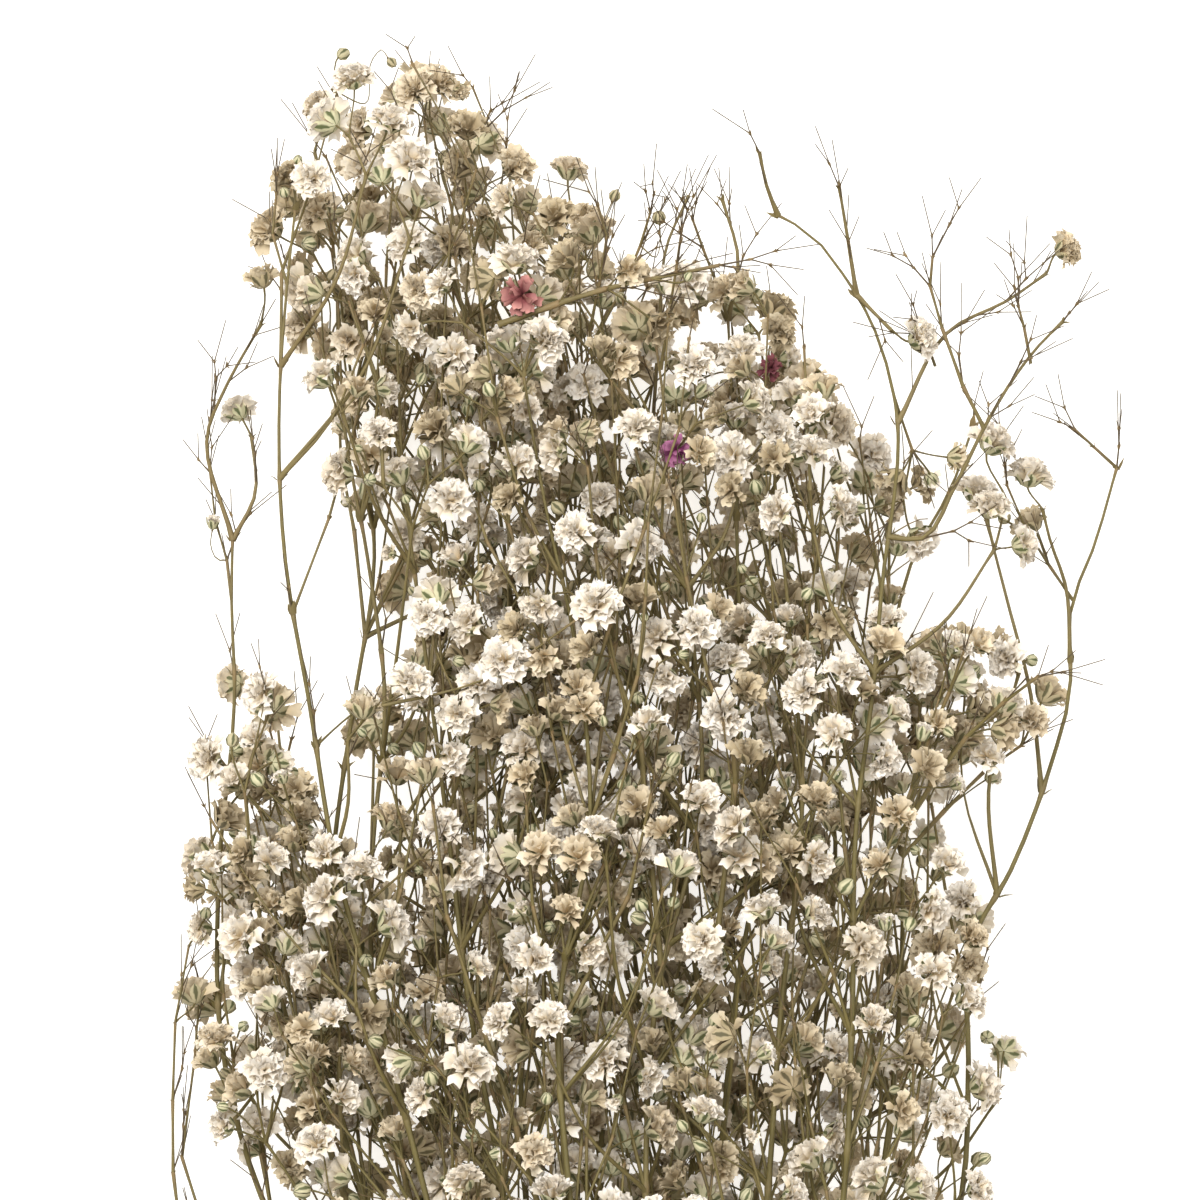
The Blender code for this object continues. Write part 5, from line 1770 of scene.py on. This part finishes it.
def mottling_group():
    """A group that darkens and lightens a colour in small spots, and gives their height."""
    group = bpy.data.node_groups.new("Dry mottling", "ShaderNodeTree")
    sockets = {"INPUT": ("Color", "Scale", "Strength"), "OUTPUT": ("Color", "Height")}
    for way, label in ((way, label) for way, labels in sockets.items() for label in labels):
        kind = "NodeSocketColor" if label == "Color" else "NodeSocketFloat"
        group.interface.new_socket(label, in_out=way, socket_type=kind)
    given = group.nodes.new("NodeGroupInput")
    where = group.nodes.new("ShaderNodeTexCoord")
    where, scale = where.outputs["Object"], given.outputs["Scale"]
    noise = add_node(group, "ShaderNodeTexNoise", Vector=where, Scale=scale, Detail=4.0)
    lift = ranged(group, noise.outputs[0], *NOISE_RANGE, To_Min=-1.0)
    swing = reckoned(group, "MULTIPLY", lift, given.outputs["Strength"])
    value = reckoned(group, "ADD", swing, 1.0)
    colour = add_node(group, "ShaderNodeHueSaturation", Value=value, Color=given.outputs["Color"])
    add_node(group, "NodeGroupOutput", Color=colour.outputs[0], Height=noise.outputs[0])
    return group


MOTTLING = mottling_group()

# %% Parts that every finish uses
def colour_of(red, green, blue):
    """A colour of a screen, from 0 to 255, as the light that it stands for."""
    return tuple(((c / 255 + 0.055) / 1.055) ** 2.4 for c in (red, green, blue)) + (1.0,)


def start_finish(name, **constants):
    """A material whose shader has the given constants, such as its roughness."""
    made = bpy.data.materials.new(name)
    made.use_nodes = True
    shader = made.node_tree.nodes["Principled BSDF"]
    for label, value in constants.items():
        shader.inputs[label.replace("_", " ")].default_value = value
    return made, made.node_tree, shader


def carried(tree, name):
    """A value that the mesh carries at each point."""
    return add_node(tree, "ShaderNodeAttribute", {"attribute_name": name}).outputs["Fac"]


def graded(tree, value, stops):
    """A colour that changes with a value, through the given stops."""
    ramp = add_node(tree, "ShaderNodeValToRGB", Fac=value)
    points = ramp.color_ramp.elements
    for extra in stops[2:]:
        points.new(extra[0])
    for point, (at, colour) in zip(points, sorted(stops, key=lambda stop: stop[0])):
        point.position, point.color = at, colour
    return ramp.outputs["Color"]


def mixed(tree, share, first, second, blend="MIX"):
    """A mix of two colours. Each of the three is a constant or a socket."""
    node = tree.nodes.new("ShaderNodeMix")
    node.data_type, node.blend_type = "RGBA", blend
    for at, value in ((0, share), (6, first), (7, second)):
        connect(tree, node.inputs[at], value)
    return node.outputs[2]


def shaded(tree, colour, shade):
    """The colour times a darker shade."""
    return mixed(tree, 1.0, colour, (*shade, 1.0), "MULTIPLY")


def fibres_along(tree, stretch, scale, detail):
    """Noise that is drawn out along a strand, as its fibres and ribs are."""
    place = add_node(
        tree, "ShaderNodeCombineXYZ", X=carried(tree, "round"),
        Y=reckoned(tree, "MULTIPLY", carried(tree, "along"), stretch),
    )
    place = place.outputs[0]
    return add_node(tree, "ShaderNodeTexNoise", Vector=place, Scale=scale, Detail=detail).outputs[0]


FINE_BUMP = 0.0001  # metres


def finish_surface(tree, shader, colour, scale, strength, bump=FINE_BUMP, height=None):
    """Mottles a colour, and lifts the surface a little by the mottling or by a given height."""
    group = {"node_tree": MOTTLING}
    mottled = add_node(tree, "ShaderNodeGroup", group, Color=colour, Scale=scale, Strength=strength)
    height = height or mottled.outputs["Height"]
    lifted = add_node(tree, "ShaderNodeBump", Distance=bump, Height=height)
    tree.links.new(mottled.outputs["Color"], shader.inputs["Base Color"])
    tree.links.new(lifted.outputs[0], shader.inputs["Normal"])


# %% [markdown]
# Dried stalks are olive at the cut end and turn straw and russet towards the tips, with fine ribs
# along them. The tone is carried by the strands. The ribs are noise that is stretched along the
# strand.

# %% Stalk finish
STALK_STOPS = (
    (0.0, (98, 90, 45)), (0.3, (119, 108, 61)), (0.5, (128, 114, 72)), (NODE_TONE, (144, 122, 84)),
    (RUSSET, (100, 84, 62)), (1.0, (214, 198, 156)),
)
GROOVE_SHADE = (0.72, 0.70, 0.66)


def stalk_finish():
    """Ribbed stalks, from olive to straw and russet, with a pale core."""
    made, tree, shader = start_finish("dried_stalk", Roughness=0.62)
    stops = [(at, colour_of(*seen)) for at, seen in STALK_STOPS]
    colour = graded(tree, carried(tree, "tone"), stops)
    ribs = fibres_along(tree, stretch=60.0, scale=14.0, detail=3.0)
    colour = mixed(tree, ribs, shaded(tree, colour, GROOVE_SHADE), colour)
    bump = 1.2 * FINE_BUMP
    finish_surface(tree, shader, colour, scale=260.0, strength=0.14, bump=bump, height=ribs)
    return made


# %% [markdown]
# Petals are thin and chalky: cream at the tip and warmer at the base. With time they turn beige and
# then brown, which each flower carries as its own number; flowers low in the bunch carry more brown
# as painted shade. Each petal differs a little from the next.

# %% Petal finish
# colours of fresh, faded and brown petals, each at shares of the way from their base to their tip
PETAL_STOPS = (
    ((0.0, (232, 212, 176)), (0.45, (238, 227, 204)), (1.0, (246, 242, 236))),
    ((0.0, (199, 177, 140)), (0.6, (219, 204, 174)), (1.0, (232, 220, 197))),
    ((0.0, (148, 129, 99)), (0.6, (186, 171, 141)), (1.0, (210, 197, 170))),
)
FADING_AGE, BROWNING_AGE = (0.15, 0.5), (0.5, 0.95)
PETAL_SHADE = (0.86, 0.82, 0.76)


def petal_finish():
    """Chalky petals, which fade and brown with time, and more so low in the bunch as painted shade.
    """
    made, tree, shader = start_finish("dried_petal", Roughness=0.85, Specular_IOR_Level=0.2)
    tip, age_and_shade = carried(tree, "tip"), carried(tree, "age_and_shade")
    fresh, faded, brown = (
        graded(tree, tip, [(at, colour_of(*seen)) for at, seen in stops]) for stops in PETAL_STOPS
    )
    # How brown a petal is comes partly from painted shade low in the bunch.
    colour = mixed(tree, ranged(tree, age_and_shade, *FADING_AGE), fresh, faded)
    colour = mixed(tree, ranged(tree, age_and_shade, *BROWNING_AGE), colour, brown)
    colour = mixed(tree, carried(tree, "stray"), colour, shaded(tree, colour, PETAL_SHADE))
    finish_surface(tree, shader, colour, scale=700.0, strength=0.06)
    return made


# %% Sepal finish
STRIPE = ((0.0, 0.1), (0.5, 0.42), (1.0, 0.2))  # half width of the green stripe, along the sepal
STRIPE_SOFT = 0.12  # how softly it ends


def sepal_finish():
    """Green-striped sepals, which lose their green with time, and more so low in the bunch as
    painted shade.
    """
    made, tree, shader = start_finish("dried_sepal", Roughness=0.7)
    beside, rise, age_and_shade = (carried(tree, name) for name in ("beside", "rise", "age_and_shade"))
    width = graded(tree, rise, [(at, (half, half, half, 1)) for at, half in STRIPE])
    inside = reckoned(tree, "SUBTRACT", width, reckoned(tree, "ABSOLUTE", beside))
    stripe = ranged(tree, inside, -STRIPE_SOFT, STRIPE_SOFT)
    green = mixed(tree, age_and_shade, colour_of(92, 100, 62), colour_of(92, 82, 56))
    edge = mixed(tree, age_and_shade, colour_of(200, 196, 160), colour_of(168, 150, 116))
    colour = mixed(tree, stripe, edge, green)
    finish_surface(tree, shader, colour, scale=500.0, strength=0.10)
    return made


STALK_FINISH, PETAL_FINISH, SEPAL_FINISH = stalk_finish(), petal_finish(), sepal_finish()

# %% [markdown]
# With shapes and finishes ready, each stem becomes five pieces: its stalks, its thin threads, its
# bracts, its calyxes and its petals. The stalks stand for the solid of that stem.

# %% Make every stem
THIN = 0.30  # radius up to which a strand has fewer sides
THICK_SIDES, THIN_SIDES, PLY_SIDES = 7, 4, 6
LEAST_HEIGHT = 0.0001  # metres above the surface


def rest_on_surface(mesh):
    """Presses what would reach below the surface flat onto it, as the bunch's weight does."""
    places = np.empty(3 * len(mesh.vertices))
    mesh.vertices.foreach_get("co", places)
    places[2::3] = np.maximum(places[2::3], LEAST_HEIGHT)
    mesh.vertices.foreach_set("co", places)


def seated(piece):
    """Presses a piece onto the surface and makes it part of the bunch."""
    rest_on_surface(piece.data)
    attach(piece, "root")
    return piece


def lines_piece(label, strands, sides):
    """A piece of stalks or threads."""
    piece = grown(label, strand_mesh(strands), STRANDS, Sides=sides, Finish=STALK_FINISH)
    return seated(piece)


def make_stem(name, drawing):
    """The five pieces of a stem. Its stalks stand for its solid."""
    thick = [strand for strand in drawing.strands if strand[1].max() > THIN]
    thin = [strand for strand in drawing.strands if strand[1].max() <= THIN]
    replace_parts(lines_piece("stalks_" + name, thick, THICK_SIDES), "stem_" + name)
    lines_piece("threads_" + name, thin, THIN_SIDES)
    for label, settings, last, store, finish in (
        ("bracts_", drawing.bracts, "tone", bract_store, STALK_FINISH),
        ("calyxes_", drawing.flowers, "age_and_shade", calyx_store, SEPAL_FINISH),
        ("petals_", drawing.flowers, "age_and_shade", bloom_store, PETAL_FINISH),
    ):
        points = setting_mesh(settings, last)
        seated(grown(label + name, points, SETTINGS, Shapes=store, Finish=finish))


for name, drawing in drawings.items():
    make_stem(name, drawing)


# %% [markdown]
# The tie is straw twine, wound side by side round the stalks. Twine is two or three plies twisted
# together, so each ply is a strand that turns about the twine's own line, while that line turns
# about the bunch.

# %% Twine sizes
TWINE_RADIUS = 0.64
PLIES = 3
PLY_RADIUS = 0.36
TWIST_LENGTH = 5.0
WINDINGS = 10
POINTS_A_TWIST, POINTS_A_WINDING = 6, 40
TWINE_GAP = 0.02  # between the twine's outside and the tie's flat underside
TWINE_TONE = 0.5

# %% Wind the twine
def twine_plies(line):
    """The plies of a twine that follows a line."""
    length = distances_along(line)
    wanted = np.linspace(0, length[-1], int(length[-1] / TWIST_LENGTH * POINTS_A_TWIST))
    core = points_at(wanted, length, line)
    way = np.gradient(core, axis=0)
    way /= np.linalg.norm(way, axis=1)[:, None]
    side = np.cross(way, (0.0, 1.0, 0.0))
    side /= np.linalg.norm(side, axis=1)[:, None]
    up = np.cross(way, side)
    plies = []
    for ply in range(PLIES):
        turn = 2 * math.pi * (wanted / TWIST_LENGTH + ply / PLIES)[:, None]
        plies.append(core + (TWINE_RADIUS - PLY_RADIUS) * (np.cos(turn) * side + np.sin(turn) * up))
    return plies


def winding():
    """The line of the twine: side by side turns about the bunch."""
    count = WINDINGS * POINTS_A_WINDING
    turn = np.linspace(0, 2 * math.pi * WINDINGS, count)
    radius = tie_middle() - TWINE_RADIUS - TWINE_GAP
    middle = from_view((VIEW_X_PX, TIE_PX), tie_middle())
    along = np.linspace(-1, 1, count) * (TIE_WIDTH / 2 - TWINE_RADIUS)
    return middle + np.stack([radius * np.sin(turn), along, radius * np.cos(turn)], axis=1)


def make_tie(finish):
    """The plies as one piece, which stands for the tie's solid."""
    plies = twine_plies(winding())
    strands = [
        (line, np.full(len(line), PLY_RADIUS), np.full(len(line), TWINE_TONE)) for line in plies
    ]
    tie = grown("straw_twine", strand_mesh(strands), STRANDS, Sides=PLY_SIDES, Finish=finish)
    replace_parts(seated(tie), "tie")


# %% Straw finish
def straw_finish():
    """Fibrous straw."""
    made, tree, shader = start_finish("straw_twine", Roughness=0.75)
    fibres = fibres_along(tree, stretch=150.0, scale=9.0, detail=4.0)
    colour = mixed(tree, fibres, colour_of(150, 116, 66), colour_of(206, 176, 118))
    finish_surface(tree, shader, colour, scale=200.0, strength=0.12, height=fibres)
    return made


make_tie(straw_finish())

# %% [markdown]
# Three papery florets of another plant are caught in the bunch: a pink, a maroon and a purple one.
# Each is a small flower of a few crumpled petals, gathered in the same way and set where its solid
# is.

# %% Floret colours and forms
# the colour at the petals' base and at their tips, and the form as for the other flowers
FLORET_LOOKS = {
    "pink": (colour_of(140, 78, 78), colour_of(206, 150, 140), (20, -8, 60, 1.25, 0.26)),
    "maroon": (colour_of(98, 48, 54), colour_of(152, 92, 98), (16, 6, 80, 1.25, 0.30)),
    "purple": (colour_of(136, 66, 108), colour_of(190, 128, 162), (20, 4, 84, 1.20, 0.30)),
}
FLORET_SHADE = (0.7, 0.66, 0.7)


def floret_finish(name, base, tip):
    """Papery petals that are paler at the tip."""
    made, tree, shader = start_finish(name + "_floret", Roughness=0.8, Specular_IOR_Level=0.25)
    colour = graded(tree, carried(tree, "tip"), ((0.0, base), (0.5, base), (1.0, tip)))
    colour = mixed(tree, carried(tree, "stray"), colour, shaded(tree, colour, FLORET_SHADE))
    finish_surface(tree, shader, colour, scale=600.0, strength=0.16)
    return made


# %% Make the florets
FLORET_AGE = 0.7
FLORET_GUIDE = (0.3, 1.0, 0.2)  # its petals' first direction is square to this


def make_floret(name, foot, facing, radius):
    """A floret's petals, which stand for its solid, and the calyx that holds them."""
    base, tip, form = FLORET_LOOKS[name]
    store = shape_store("floret_" + name)
    store_flower(store, name, form, 1, random.Random(name))
    heading = unit(np.cross(facing, FLORET_GUIDE))
    place = [(foot + facing * BLOOM_CENTRE * radius, facing, heading, (radius,) * 3, 0, FLORET_AGE)]
    for label, shapes, finish in (
        ("petals_", store, floret_finish(name, base, tip)), ("calyx_", calyx_store, SEPAL_FINISH),
    ):
        points = setting_mesh(place, "age_and_shade")
        piece = grown(label + name, points, SETTINGS, Shapes=shapes, Finish=finish)
        seated(piece)
        if shapes is store:
            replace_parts(piece, "floret_" + name)
    return store


floret_stores = [make_floret(name, *place) for name, place in florets.items()]

# %% [markdown]
# The shapes that were set by the thousand are no pieces themselves, so they are removed.

# %% Remove the stores
for store in (petal_store, bloom_store, calyx_store, bract_store, *floret_stores):
    for shape in list(store.objects):
        bpy.data.objects.remove(shape)
    bpy.data.collections.remove(store)

shown = [obj for obj in bpy.context.scene.objects if obj.type == "MESH" and not obj.hide_render]
sizes = [triangles(piece) for piece in shown]
print("pieces:", len(sizes), " triangles:", sum(sizes), " largest:", max(sizes))

# %% [markdown]
# The bunch lies on a plain pale floor under soft light, and the camera looks straight down on it,
# as the reference does, from far enough away that the view is nearly parallel.

# %% Floor
FLOOR_HALF = 3.0  # metres
FLOOR_COLOUR, FLOOR_GLOW = (0.55, 0.55, 0.54, 1.0), (1.0, 0.97, 0.92, 1.0)
floor_mesh = bpy.data.meshes.new("floor")
corners = [(x * FLOOR_HALF, y * FLOOR_HALF, 0.0) for x, y in ((-1, -1), (1, -1), (1, 1), (-1, 1))]
floor_mesh.from_pydata(corners, [], [(0, 1, 2, 3)])
floor = new_object("floor", floor_mesh)
paper, *_ = start_finish(
    "white_paper", Roughness=0.9, Base_Color=FLOOR_COLOUR, Emission_Color=FLOOR_GLOW,
    Emission_Strength=0.8,
)
floor_mesh.materials.append(paper)

# %% Light
def add_light(name, place, size, power):
    """A large soft lamp that points at the bunch's head."""
    light = bpy.data.lights.new(name, "AREA")
    light.shape, light.size, light.energy = "DISK", size, power
    lamp = new_object(name, light)
    lamp.location = place
    lamp.rotation_euler = (TARGET - Vector(place)).to_track_quat("-Z", "Y").to_euler()


VIEW_HEIGHT = 1.4  # metres from the camera to the middle of the head
FRAME_PX = 1200
SKY_COLOUR, SKY_STRENGTH = (1.0, 0.89, 0.72, 1.0), 0.28
TARGET = Vector(placed(from_view((FRAME_PX / 2, FRAME_PX / 2), HEAD_MIDDLE)))
add_light("softbox_left", (-0.45, 0.75, 1.5), size=1.2, power=33.0)
add_light("softbox_right", (0.6, -0.1, 1.6), size=1.0, power=11.0)
world = bpy.data.worlds.new("white_room")
bpy.context.scene.world = world
world.use_nodes = True
sky = world.node_tree.nodes["Background"]
sky.inputs["Color"].default_value, sky.inputs["Strength"].default_value = SKY_COLOUR, SKY_STRENGTH
bpy.context.scene.view_settings.view_transform = "Standard"

# %% Camera
camera = bpy.data.cameras.new("camera")
camera.sensor_width = 36.0
camera.lens = camera.sensor_width * VIEW_HEIGHT / (FRAME_PX * PIXEL_MM * MM)
camera.clip_end = 20.0
eye = new_object("camera", camera)
eye.location = TARGET + Vector((0.0, 0.0, VIEW_HEIGHT))
bpy.context.scene.camera = eye
